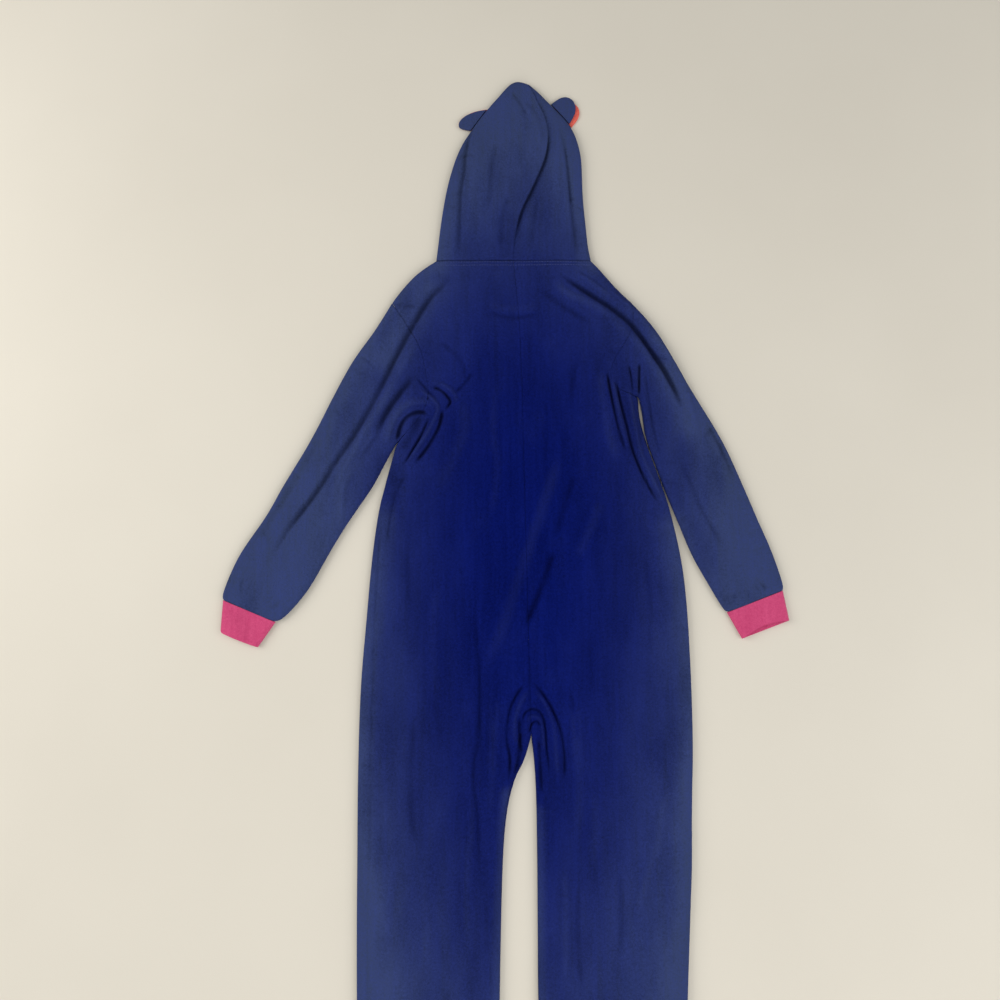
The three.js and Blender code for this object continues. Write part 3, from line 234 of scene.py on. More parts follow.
# Creases of the upper layer: how far each rises, its half width to the left and to the right of
# the way it runs, and the points it runs through
UPPER_CREASES = [
    # left shoulder and sleeve
    (-2.7, 7, 11, [(-62, 356), (-83, 326), (-103, 305), (-127, 264), (-151, 217), (-176, 163),
                   (-206, 104), (-238, 54), (-260, 16), (-283, -17), (-304, -46), (-321, -76),
                   (-341, -102)]),
    (2.3, 9, 9, [(-118, 246), (-147, 189), (-181, 126), (-198, 98), (-219, 54), (-234, 20), (-247, -3)]),
    (-2.8, 9, 11, [(-122, 190), (-150, 152), (-168, 124), (-180, 96), (-203, 60), (-214, 34)]),
    (2.0, 8, 7, [(-170, 112), (-192, 82), (-205, 57), (-218, 34), (-226, 10), (-228, -43)]),
    (-1.2, 10, 12, [(-262, 92), (-292, 34), (-322, -20), (-352, -70)]),
    (1.0, 14, 14, [(-240, -20), (-275, -72), (-318, -128)]),
    (-1.0, 6, 8, [(-160, 296), (-144, 292), (-122, 292)]),
    # left underarm
    (2.6, 15, 4.5, [(-164, 78), (-158, 104), (-148, 125), (-133, 138), (-117, 142), (-104, 141),
                    (-93, 133)]),
    (-3.6, 3.5, 9, [(-151, 84), (-147, 106), (-139, 120), (-127, 128), (-115, 130), (-103, 126)]),
    (2.8, 4.5, 4, [(-122, 166), (-108, 155), (-98, 147), (-91, 136), (-93, 124), (-102, 104), (-110, 90),
                   (-122, 72), (-136, 48)]),
    (-3.0, 4.5, 3.5, [(-141, 48), (-125, 74), (-113, 97), (-102, 124)]),
    (-3.4, 7, 3.5, [(-84, 136), (-89, 110), (-98, 90), (-110, 71), (-126, 50)]),
    (-3.2, 4, 4.5, [(-100, 168), (-86, 161), (-77, 152), (-73, 143), (-81, 131)]),
    (1.6, 5, 5, [(-92, 172), (-78, 166), (-66, 154), (-64, 140)]),
    (-1.8, 5, 6, [(-66, 158), (-52, 172), (-40, 190)]),
    (-1.5, 4, 4, [(-96, 150), (-112, 168), (-124, 182)]),
    (-1.6, 13, 13, [(-116, 126), (-127, 100), (-142, 70)]),
    (-1.3, 4, 5, [(-134, 40), (-150, 8), (-158, -30), (-160, -70)]),
    (1.2, 12, 16, [(-60, 150), (-50, 110), (-66, 60), (-90, 10)]),
    # right shoulder and sleeve
    (2.2, 6, 10, [(90, 358), (117, 346), (151, 320), (181, 298), (206, 276), (228, 245), (251, 214),
                  (267, 182), (277, 147), (286, 108), (288, 80)]),
    (-4.2, 7, 8, [(84, 346), (104, 330), (135, 309), (167, 287), (196, 261), (222, 223), (243, 189),
                  (260, 152), (270, 120)]),
    (-2.4, 5, 5, [(108, 352), (140, 330), (172, 304), (196, 282)]),
    (2.3, 9, 10, [(74, 339), (99, 312), (129, 298), (160, 279), (187, 249), (205, 233), (224, 202),
                  (237, 182), (250, 170)]),
    (-1.3, 9, 9, [(60, 318), (96, 290), (140, 262)]),
    (1.1, 16, 16, [(258, 147), (291, 72), (319, -16), (342, -87)]),
    (-1.1, 8, 8, [(262, 60), (286, -6), (318, -70)]),
    (-1.4, 6, 6, [(300, 116), (322, 72), (340, 24)]),
    # right underarm
    (-3.4, 3.5, 4.5, [(157, 196), (160, 176), (166, 140), (174, 100), (184, 66)]),
    (-3.6, 3.5, 4.5, [(170, 182), (176, 147), (185, 108), (192, 76), (203, 44), (216, 16), (231, -12)]),
    (2.2, 4, 4, [(164, 186), (170, 150), (178, 108), (186, 74)]),
    (2.6, 4.5, 4.5, [(186, 176), (191, 147), (197, 106), (203, 74), (214, 43), (226, 16), (238, -12)]),
    (-3.2, 3.5, 4, [(206, 204), (205, 180), (204, 152)]),
    (-2.2, 3.5, 3.5, [(190, 202), (193, 182), (195, 158)]),
    (1.4, 12, 10, [(146, 196), (150, 150), (158, 96), (172, 50)]),
    (-1.4, 4, 5, [(214, 190), (218, 150), (224, 104), (234, 58)]),
    # back
    (1.5, 14, 14, [(95, 83), (65, -1), (34, -93), (7, -172), (-22, -249)]),
    (-2.3, 8, 10, [(80, -70), (57, -130), (34, -186)]),
    (1.4, 12, 12, [(144, -1), (129, -44), (107, -87)]),
    (-1.3, 10, 10, [(110, 40), (92, -10), (78, -60)]),
    (-1.1, 6, 7, [(-22, 283), (18, 273), (63, 280)]),
    (0.9, 10, 10, [(-24, 294), (18, 286), (64, 292)]),
    (-0.9, 8, 8, [(-92, 238), (-60, 210), (-48, 176)]),
    (-0.8, 7, 7, [(126, 232), (110, 190), (104, 140)]),
    (0.9, 9, 9, [(-6, 176), (-10, 110), (-4, 40), (-14, -30)]),
    (-0.8, 6, 6, [(66, 150), (70, 100), (64, 52)]),
    (-1.0, 8, 8, [(-128, -20), (-132, -90), (-126, -160)]),
    (-0.9, 7, 7, [(206, -70), (212, -150), (208, -230)]),
    (0.9, 10, 10, [(-90, -120), (-94, -200), (-86, -290)]),
    # seat and crotch
    (-1.8, 5, 7, [(-37, -144), (-32, -199), (-28, -268), (-30, -330), (-36, -377), (-29, -453),
                  (-28, -520)]),
    (-2.6, 5, 3, [(38, -254), (24, -272), (14, -292), (9, -316), (9, -338), (13, -358), (12, -392)]),
    (-2.8, 3, 5, [(88, -392), (88, -356), (84, -326), (76, -303), (66, -284), (52, -264), (38, -254)]),
    (1.6, 5, 5, [(42, -266), (30, -282), (23, -300), (20, -322), (23, -344)]),
    (1.6, 5, 5, [(46, -266), (60, -281), (69, -300), (75, -322), (77, -352), (80, -392)]),
    (-2.6, 3, 3.5, [(31, -318), (32, -303), (39, -295), (50, -294), (58, -301), (62, -318), (64, -346),
                    (69, -384)]),
    (-2.2, 3, 3, [(40, -326), (44, -313), (52, -310), (57, -318)]),
    (1.6, 4, 4, [(36, -312), (44, -303), (54, -306), (59, -322), (61, -352)]),
    (-2.0, 3.5, 4, [(30, -352), (27, -336), (29, -324)]),
    (-2.4, 10, 3, [(24, -300), (26, -330), (24, -360), (18, -384)]),
    (-2.0, 3, 7, [(54, -330), (56, -370), (58, -410)]),
    (1.3, 9, 12, [(-6, -262), (-8, -310), (-10, -380), (-14, -440)]),
    (1.3, 12, 9, [(104, -280), (104, -340), (108, -410), (102, -470)]),
    (-1.4, 4, 5, [(96, -266), (104, -300), (106, -340)]),
    (-1.2, 4, 4, [(0, -250), (-8, -286), (-10, -322)]),
    # legs
    (1.5, 10, 6, [(236, -398), (221, -417), (212, -469), (195, -517), (178, -563)]),
    (1.3, 8, 8, [(-40, -398), (-38, -444), (-42, -484), (-45, -542), (-40, -620)]),
    (-1.3, 8, 8, [(160, -500), (162, -560), (158, -620)]),
    (1.5, 7, 7, [(87, -500), (88, -560), (86, -650)]),
    (1.0, 10, 10, [(128, -401), (130, -453), (121, -504)]),
    (-1.1, 7, 7, [(104, -520), (104, -590), (108, -660)]),
    (-1.0, 8, 9, [(-118, -300), (-122, -390), (-116, -480)]),
    (1.0, 10, 10, [(-92, -430), (-100, -520), (-96, -640)]),
    (-1.2, 9, 9, [(-68, -640), (-72, -740), (-64, -820)]),
    (1.2, 11, 11, [(-120, -700), (-112, -800), (-118, -900)]),
    (-1.3, 9, 9, [(150, -690), (158, -790), (150, -870)]),
    (1.2, 11, 11, [(196, -640), (190, -740), (196, -860)]),
    (-0.9, 7, 7, [(-30, -800), (-34, -870), (-28, -940)]),
    (1.0, 9, 9, [(104, -760), (98, -840), (106, -930)]),
    # hood
    (-1.4, 9, 5, [(-62, 361), (-61, 425), (-60, 469), (-55, 505), (-52, 540), (-45, 570), (-31, 597)]),
    (-1.6, 5, 8, [(113, 361), (113, 394), (108, 449), (106, 482), (102, 527), (97, 565), (88, 590)]),
    (1.5, 8, 8, [(30, 620), (46, 608), (58, 584), (63, 545)]),
    (1.1, 12, 12, [(-28, 565), (-40, 494), (-46, 428), (-44, 380)]),
    (-1.0, 9, 9, [(-6, 560), (-14, 500), (-16, 440)]),
    (-1.1, 8, 8, [(14, 470), (4, 430), (2, 380)]),
    (1.0, 9, 9, [(88, 520), (86, 460), (80, 400)]),
    (-1.0, 7, 7, [(58, 470), (52, 430), (48, 384)]),
    (-1.4, 5, 5, [(18, 640), (34, 618), (40, 600)]),
]

# Creases of the lower layer, pressed up off the surface
LOWER_CREASES = [
    (1.1, 9, 9, [(-50, 300), (-80, 220), (-92, 130), (-86, 40)]),
    (0.9, 8, 8, [(120, 290), (134, 210), (128, 120)]),
    (1.2, 8, 10, [(-160, 240), (-204, 150), (-246, 70), (-300, -30)]),
    (0.9, 7, 7, [(-214, 60), (-250, -10), (-290, -90)]),
    (1.2, 10, 8, [(216, 240), (252, 160), (286, 70), (330, -40)]),
    (0.8, 7, 7, [(246, 60), (280, -20), (318, -100)]),
    (1.0, 9, 9, [(-120, -20), (-132, -130), (-120, -250)]),
    (1.1, 8, 11, [(180, 20), (196, -90), (184, -220)]),
    (1.0, 8, 8, [(-20, -130), (-34, -230), (-30, -340), (-44, -460)]),
    (0.9, 8, 8, [(96, -200), (108, -310), (100, -450)]),
    (1.1, 9, 9, [(-130, -420), (-122, -560), (-134, -700)]),
    (0.9, 10, 8, [(200, -380), (190, -520), (202, -680)]),
    (1.0, 8, 8, [(-60, -640), (-70, -780), (-60, -900)]),
    (1.0, 9, 9, [(130, -620), (142, -760), (132, -900)]),
    (0.8, 7, 7, [(-50, 400), (-44, 480), (-26, 560)]),
    (0.8, 7, 7, [(96, 410), (94, 490), (80, 570)]),
]

# Seams pressed into the upper layer: depth, half width and the points of each
SEAMS = [
    (0.25, 2.6, [(20, 362), (28, 275), (32, 180), (34, 83), (38, -100), (43, -326)]),
    (0.6, 2.6, [(-98, NECK_Y), (20, NECK_Y), (139, NECK_Y)]),
    (0.9, 2.6, [(-172, -60), (-177, -180), (-178, -335), (-177, -440), (-175, -640), (-166, -830),
                (-161, -956)]),
    (0.7, 2.4, [(-200, HEM_Y + 20.8), (20, HEM_Y + 20.8), (250, HEM_Y + 20.8)]),
]

# Small wrinkles that run in from an edge of the laid cloth: the edge's points, how many, how long
# and how deep they are at most, and the side they lie on as the edge runs
EDGE_WRINKLES = [
    ([(-188, 252), (-249, 145), (-314, 20), (-384, -101)], 15, 34, 0.9, 1),
    ([(-168, 51), (-203, -10), (-246, -81), (-300, -166)], 11, 28, 0.9, 1),
    ([(240, 242), (304, 124), (360, -1), (402, -108)], 13, 30, 0.9, -1),
    ([(225, 53), (260, -41), (296, -121), (314, -156)], 9, 26, 0.9, 1),
    ([(-163, 30), (-184, -101), (-194, -257), (-195, -380), (-191, -604), (-183, -830)], 26, 40, 0.8, 1),
    ([(240, -1), (265, -161), (267, -300), (262, -425), (250, -640), (240, -820)], 26, 40, 0.8, -1),
    ([(11, -407), (3, -551), (-2, -720), (-10, -900)], 13, 30, 0.8, -1),
    ([(50, -430), (51, -600), (54, -780), (60, -930)], 13, 30, 0.8, 1),
    ([(-95, 380), (-82, 480), (-52, 566)], 8, 26, 0.8, -1),
    ([(134, 383), (127, 480), (112, 580)], 8, 26, 0.8, 1),
    ([(-96, 350), (20, 350), (136, 350)], 12, 22, 0.6, -1),
    ([(-160, 294), (-118, 224), (-104, 150)], 8, 24, 0.8, 1),
    ([(196, 296), (190, 244), (162, 190)], 8, 24, 0.8, -1),
    ([(-392, -126), (-308, -166)], 9, 24, 1.0, 1),
    ([(322, -156), (402, -122)], 9, 24, 1.0, 1),
]

# Ranges that the wrinkles are drawn from. Place, slant, long and rise are shares: of a wrinkle's
# stretch of the edge, of the way along the edge, of the longest and of the deepest. Start, bow and
# the half width are in millimetres. A wrinkle is a trough for two of the three signs.
WRINKLE_SEED = 7
WRINKLE = {
    "place": (0.1, 0.9), "slant": (-0.7, 0.7), "long": (0.45, 1), "start": (1, 5), "bow": (-3, 3),
    "rise": (0.35, 1), "half": (3.2, 5.5),
}
WRINKLE_SIGNS = [-1, -1, 1]

# Painted shade, in the colour only, where a fold's foot is dark though the cloth beside it is level:
# depth of the shade, its half widths and its points
PAINTED_FOLD_SHADES = [
    (-3.0, 2.5, 7, [(24, 400), (28, 424), (35, 446), (47, 472), (62, 507), (70, 530), (74, 556), (73, 580)]),
    (-1.2, 3, 9, [(72, 590), (66, 606), (58, 622)]),
    (-0.7, 5, 4, [(-60, 400), (-60, 469), (-55, 505), (-52, 540), (-46, 568)]),
    (-0.9, 4, 4, [(108, 449), (106, 482), (103, 522), (98, 556)]),
]

# Edges along which painted sheen makes the cloth's colour paler: half width and points
PAINTED_SHEEN_EDGES = [
    (34, [(-172, -30), (-186, -140), (-194, -257), (-195, -380), (-191, -604), (-178, -956)]),
    (34, [(250, -41), (264, -161), (267, -300), (262, -425), (250, -640), (232, -956)]),
    (40, [(-97, 363), (-90, 430), (-82, 480), (-63, 546), (-30, 600), (10, 650), (25, 660)]),
    (34, [(138, 363), (131, 420), (126.5, 500), (121, 556), (94, 604), (60, 641), (25, 660)]),
    (30, [(-98, 360), (-162, 297), (-217, 209), (-290, 61), (-361, -61), (-395, -130)]),
    (26, [(240, 242), (304, 124), (360, -1), (403, -114)]),
    (16, [(11, -407), (3, -551), (-2, -720), (-14, -956)]),
    (16, [(50, -430), (51, -600), (54, -780), (62, -956)]),
    (40, [(-112, 318), (-140, 268), (-166, 214)]),
    (34, [(248, 190), (266, 150), (276, 110)]),
]


def smooth_step(t):
    """From 0 to 1 without a corner, as t goes from 0 to 1."""
    t = np.clip(t, 0, 1)
    return t * t * (3 - 2 * t)


def bent(points, steps=8):
    """A smooth line through a few points."""
    p = np.array([points[0], *points, points[-1]], float)
    t = np.linspace(0, 1, steps, endpoint=False)[:, None]
    runs = []
    for a, b, c, d in zip(p[:-3], p[1:-2], p[2:-1], p[3:]):
        cubic = (3 * b - 3 * c + d - a) * t ** 3
        runs.append((2 * b + (c - a) * t + (2 * a - 5 * b + 4 * c - d) * t ** 2 + cubic) / 2)
    return np.concatenate([*runs, p[-1:]])


def against(line, x, y):
    """How far plan points lie from a line, their side of it (1 is left) and how far along they are."""
    start, way = line[:-1], np.diff(line, axis=0)
    long = np.maximum((way ** 2).sum(1), 1e-9)
    dx, dy = x[:, None] - start[:, 0], y[:, None] - start[:, 1]
    t = np.clip((dx * way[:, 0] + dy * way[:, 1]) / long, 0, 1)
    away = np.hypot(dx - t * way[:, 0], dy - t * way[:, 1])
    best = away.argmin(1)
    row = np.arange(len(x))
    side = np.sign(way[best, 0] * dy[row, best] - way[best, 1] * dx[row, best])
    gone = np.concatenate([[0], np.cumsum(np.sqrt(long))])
    along = (gone[best] + t[row, best] * np.sqrt(long[best])) / gone[-1]
    return away[row, best], side, along


def near_line(line, reach, x, y):
    """The numbers of the plan points that lie in the box round a line."""
    low, high = line.min(0) - reach, line.max(0) + reach
    return np.flatnonzero((x > low[0]) & (x < high[0]) & (y > low[1]) & (y < high[1]))


def crease_sum(creases, x, y, spread=0.0):
    """The rise of some creases at plan points; spread widens each by so many millimetres."""
    total = np.zeros(len(x))
    for number, (rise, left, right, points) in enumerate(creases):
        line = bent(points)
        near = near_line(line, max(left, right) + spread, x, y)
        if not len(near):
            continue
        away, side, along = against(line, x[near], y[near])
        across = away / (np.where(side > 0, left, right) + spread)
        bump = (1 + np.cos(np.pi * np.minimum(across, 1))) / 2
        if rise < 0:
            bump = bump ** TROUGH_SHARP
        fade = smooth_step(along / FADE_IN) * smooth_step((1 - along) / FADE_OUT)
        uneven = 1 + UNEVEN * np.sin(UNEVEN_SHIFT * number + UNEVEN_TURN * along)
        total[near] += rise * bump * fade * uneven
    return total


def highest_band(bands, x, y):
    """The highest of some bands at plan points, from each band's height, half width and points."""
    total = np.zeros(len(x))
    for height, half, points in bands:
        line = bent(points)
        near = near_line(line, half, x, y)
        if len(near):
            away, _, _ = against(line, x[near], y[near])
            total[near] = np.maximum(total[near], height * smooth_step(1 - away / half))
    return total


def edge_wrinkles():
    """Short uneven wrinkles along the laid cloth's edges, as creases."""
    draw = random.Random(WRINKLE_SEED)
    found = []
    for points, count, longest, deepest, side in EDGE_WRINKLES:
        line = bent(points, 12)
        for k in range(count):
            place = (k + draw.uniform(*WRINKLE["place"])) / count * (len(line) - 2)
            here = line[int(place)]
            way = line[int(place) + 1] - here
            way = way / np.hypot(*way)
            inward = np.array([-way[1], way[0]]) * side
            slant = way * draw.uniform(*WRINKLE["slant"])
            long = longest * draw.uniform(*WRINKLE["long"])
            foot = here + inward * draw.uniform(*WRINKLE["start"])
            bow = foot + (inward + slant) * long / 2 + way * draw.uniform(*WRINKLE["bow"])
            tip = foot + (inward + slant) * long
            rise = deepest * draw.uniform(*WRINKLE["rise"]) * draw.choice(WRINKLE_SIGNS)
            half = draw.uniform(*WRINKLE["half"])
            found.append((rise, half, half, [tuple(foot), tuple(bow), tuple(tip)]))
    return found


WRINKLES = edge_wrinkles()


def drift(x, y, scale_x, scale_y, seed):
    """Slow unevenness of the cloth at plan points, from -1 to 1."""
    return np.array([noise.noise((a / scale_x, b / scale_y, seed)) for a, b in zip(x, y)])


def zip_room(x, y):
    """How much higher the upper layer has to stay over the zip."""
    away, _, along = against(np.array([ZIP_TOP, ZIP_FOOT], float), x, y)
    tape = ZIP_SINK_ROOM * smooth_step((TAPE_REACH - away) / TAPE_SLOPE)
    slider = ZIP_SINK_ROOM * smooth_step((SLIDER_REACH - away) / SLIDER_SLOPE)
    return tape + slider * smooth_step((SLIDER_SHARE - along) / SLIDER_FADE)


def painted_sheen(x, y):
    """How much painted sheen the cloth's colour gets at plan points."""
    dx, dy = x - PAINTED_SHEEN_PLACE[0], y - PAINTED_SHEEN_PLACE[1]
    total = (dx / PAINTED_SHEEN_ACROSS) ** 2 + (dy / np.where(dy > 0, PAINTED_SHEEN_UP, PAINTED_SHEEN_DOWN)) ** 2
    edge = highest_band([(1, half, points) for half, points in PAINTED_SHEEN_EDGES], x, y)
    return np.minimum(total ** PAINTED_SHEEN_CURVE, PAINTED_SHEEN_MOST) + PAINTED_SHEEN_BY_EDGE * edge


def kept_above(height, lowest):
    """Heights that run smoothly into a lowest one and never pass it."""
    over = height - lowest
    return lowest + (over + np.sqrt(over ** 2 + SOFT_STOP)) / 2


def crease_cloth(piece):
    """Press the creases, seams and wrinkles into a piece of cloth."""
    mesh = piece.data
    count = len(mesh.vertices)
    places, facing = np.zeros(count * 3), np.zeros(count * 3)
    mesh.vertices.foreach_get("co", places)
    mesh.vertices.foreach_get("normal", facing)
    places, facing = places.reshape(-1, 3), facing.reshape(-1, 3)
    x, y, z = places[:, 0] / MM - START_X, places[:, 1] / MM - START_Y, places[:, 2] / MM
    if piece.name.startswith("hood_left"):
        kept = np.interp(y, *zip(*FOLD_HEIGHTS))
        z = np.where(z > LAID_HEIGHT, LAID_HEIGHT + (z - LAID_HEIGHT) * kept, z)
    upper, outside = z > EDGE_HEIGHT, facing[:, 2] > 0
    if piece.name.startswith("hood"):
        places[:, 1] += PEAK_RISE * MM * smooth_step((y - PEAK_FROM) / PEAK_OVER)
    rise = np.zeros(count)
    lift = np.zeros(count)
    for inner in (False, True):
        part = np.flatnonzero(upper & (outside != inner))
        if not len(part):
            continue
        px, py = x[part], y[part]
        spread = INSIDE_WIDER if inner else 0.0
        own = crease_sum(UPPER_CREASES, px, py, spread) + crease_sum(WRINKLES, px, py, spread)
        own += sum(height * drift(px, py, *sizes) for height, *sizes in DRIFTS)
        own -= highest_band(SEAMS, px, py)
        rise[part] = np.where(own > 0, own * RIDGE_GAIN, own) + LOFT
    share = smooth_step((z - EDGE_HEIGHT) / HOLD_OVER)
    new_z = z + share * rise
    lowest = WALL + CLEAR + zip_room(x, y) + np.where(outside, WALL, 0)
    held = kept_above(new_z, lowest)
    deep = upper & (z > lowest)
    new_z = np.where(deep, held * share + new_z * (1 - share), new_z)
    under = np.flatnonzero(~upper)
    if len(under):
        px, py = x[under], y[under]
        above = crease_sum(UPPER_CREASES, px, py, PRESS_WIDER)
        press = crease_sum(LOWER_CREASES, px, py) * np.clip(1 + above / PRESS_DEPTH, 0, 1)
        share_low = smooth_step((LOWER_TOP - z[under]) / LOWER_FADE)
        lift[under] = press * share_low
    places[:, 2] = (new_z + lift) * MM
    mesh.vertices.foreach_set("co", places.ravel())
    mesh.update()
    # For the material: painted shade in troughs and at fold feet, painted sheen on ridges, and painted sheen
    # by place and on the ears
    shade = new_z - z - LOFT * share * upper + crease_sum(PAINTED_FOLD_SHADES, x, y) * share
    store(piece, "crease", np.clip(shade / CREASE_RANGE, -1, 1))
    store(piece, "painted_sheen", painted_sheen(x, y) + (EAR_PAINTED_SHEEN if piece.name.startswith("ear") else 0))


def tuck(piece, push):
    """Move a small layer sideways, in millimetres."""
    for vertex in piece.data.vertices:
        vertex.co.x += push[0] * MM
        vertex.co.y += push[1] * MM


def store(piece, name, values):
    """Keep one number for each point of a piece, for its material."""
    layer = piece.data.attributes.new(name, "FLOAT", "POINT")
    layer.data.foreach_set("value", np.asarray(values, np.float32))


def refine(piece, boxes, finest):
    """Cut the upward faces inside some plan boxes once more."""
    mesh = piece.data
    count = len(mesh.polygons)
    middles, facing = np.zeros(count * 3), np.zeros(count * 3)
    mesh.polygons.foreach_get("center", middles)
    mesh.polygons.foreach_get("normal", facing)
    middles, facing = middles.reshape(-1, 3) / MM, facing.reshape(-1, 3)
    x, y = middles[:, 0] - START_X, middles[:, 1] - START_Y
    chosen = np.zeros(count, bool)
    for left, low, right, high in boxes:
        chosen |= (x > left) & (x < right) & (y > low) & (y < high)
    chosen &= (facing[:, 2] > FACING_UP) & (middles[:, 2] > EDGE_HEIGHT)
    chosen[np.flatnonzero(chosen)[finest:]] = False
    pick(piece)
    bpy.ops.object.mode_set(mode="EDIT")
    bpy.ops.mesh.select_mode(type="FACE")
    bpy.ops.mesh.select_all(action="DESELECT")
    bpy.ops.object.mode_set(mode="OBJECT")
    mesh.polygons.foreach_set("select", chosen)
    bpy.ops.object.mode_set(mode="EDIT")
    bpy.ops.mesh.subdivide(number_cuts=1)
    bpy.ops.object.mode_set(mode="OBJECT")


def shaped_from(node_name, levels):
    """A finer cloth piece on the form of one CAD node."""
    piece = bpy.data.objects.new(f"{node_name}_cloth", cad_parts[node_name].data.copy())
    piece.data.materials.clear()
    bpy.context.scene.collection.objects.link(piece)
    pick(piece)
    bpy.ops.object.mode_set(mode="EDIT")
    bpy.ops.mesh.select_mode(type="VERT")
    bpy.ops.mesh.select_all(action="SELECT")
    bpy.ops.mesh.remove_doubles(threshold=SAME_POINT * MM)
    bpy.ops.mesh.tris_convert_to_quads(
        face_threshold=math.radians(QUAD_FACE_ANGLE), shape_threshold=math.radians(QUAD_SHAPE_ANGLE))
    bpy.ops.mesh.select_mode(type="EDGE")
    bpy.ops.mesh.select_all(action="DESELECT")
    bpy.ops.mesh.edges_select_sharp(sharpness=math.radians(SHARP_EDGE_ANGLE))
    bpy.ops.transform.edge_crease(value=1)
    bpy.ops.object.mode_set(mode="OBJECT")
    rounding = piece.modifiers.new("rounding", "SUBSURF")
    rounding.levels = levels
    rounding.render_levels = levels
    bpy.ops.object.modifier_apply(modifier="rounding")
    return piece


def finished(piece, body, finish, slot_name):
    """Smooth shading, material and body of a piece; its slot name is not used."""
    pick(piece)
    bpy.ops.object.shade_smooth_by_angle(angle=math.radians(SMOOTH_ANGLE))
    piece.data.materials.clear()
    piece.data.materials.append(finish)
    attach(piece, body)
    return piece


# Node groups that several materials share


def new_group(name, inputs, outputs):
    """An empty group with its gates; an input without a value is a place."""
    group = bpy.data.node_groups.new(name, "ShaderNodeTree")
    for socket, value in inputs:
        kind = "NodeSocketVector" if value is None else "NodeSocketFloat"
        if isinstance(value, tuple):
            kind = "NodeSocketColor"
        made = group.interface.new_socket(socket, in_out="INPUT", socket_type=kind)
        if value is not None:
            made.default_value = value
    for socket, kind in outputs:
        group.interface.new_socket(socket, in_out="OUTPUT", socket_type=kind)
    return group, group.nodes.new("NodeGroupInput"), group.nodes.new("NodeGroupOutput")


def node(tree, kind, settings=(), inputs=()):
    """A node with its settings, and its inputs as numbers or as sockets to link from."""
    made = tree.nodes.new(kind)
    for name, value in dict(settings).items():
        setattr(made, name, value)
    for name, value in dict(inputs).items():
        if isinstance(value, bpy.types.NodeSocket):
            tree.links.new(value, made.inputs[name])
        else:
            made.inputs[name].default_value = value
    return made


def maths(tree, operation, first, second, clamp=False):
    """One operation on two values, each a number or a socket."""
    made = node(tree, "ShaderNodeMath", {"operation": operation, "use_clamp": clamp})
    for slot_number, value in enumerate((first, second)):
        if isinstance(value, bpy.types.NodeSocket):
            tree.links.new(value, made.inputs[slot_number])
        else:
            made.inputs[slot_number].default_value = value
    return made.outputs[0]


def ranged(tree, value, span, low):
    """A value times a span, plus the low end."""
    return maths(tree, "ADD", maths(tree, "MULTIPLY", value, span), low)


def stretched(tree, where, scale):
    """A place with each of its axes scaled."""
    return node(tree, "ShaderNodeMapping", {}, {"Vector": where, "Scale": scale}).outputs["Vector"]


def grain(tree, where, scale, detail=3.0, rough=0.6):
    """Cloudy noise."""
    made = node(tree, "ShaderNodeTexNoise", {}, {
        "Vector": where, "Scale": scale, "Detail": detail, "Roughness": rough})
    return made.outputs["Fac"]


def mixed(tree, share, dark, light, blend="MIX"):
    """Two colours mixed, or blended in another way, by a share."""
    made = node(tree, "ShaderNodeMix", {"data_type": "RGBA", "blend_type": blend})
    for name, value in (("Factor", share), ("A", dark), ("B", light)):
        socket = next(s for s in made.inputs if s.name == name and s.enabled)
        if isinstance(value, bpy.types.NodeSocket):
            tree.links.new(value, socket)
        else:
            socket.default_value = value
    return next(s for s in made.outputs if s.enabled)


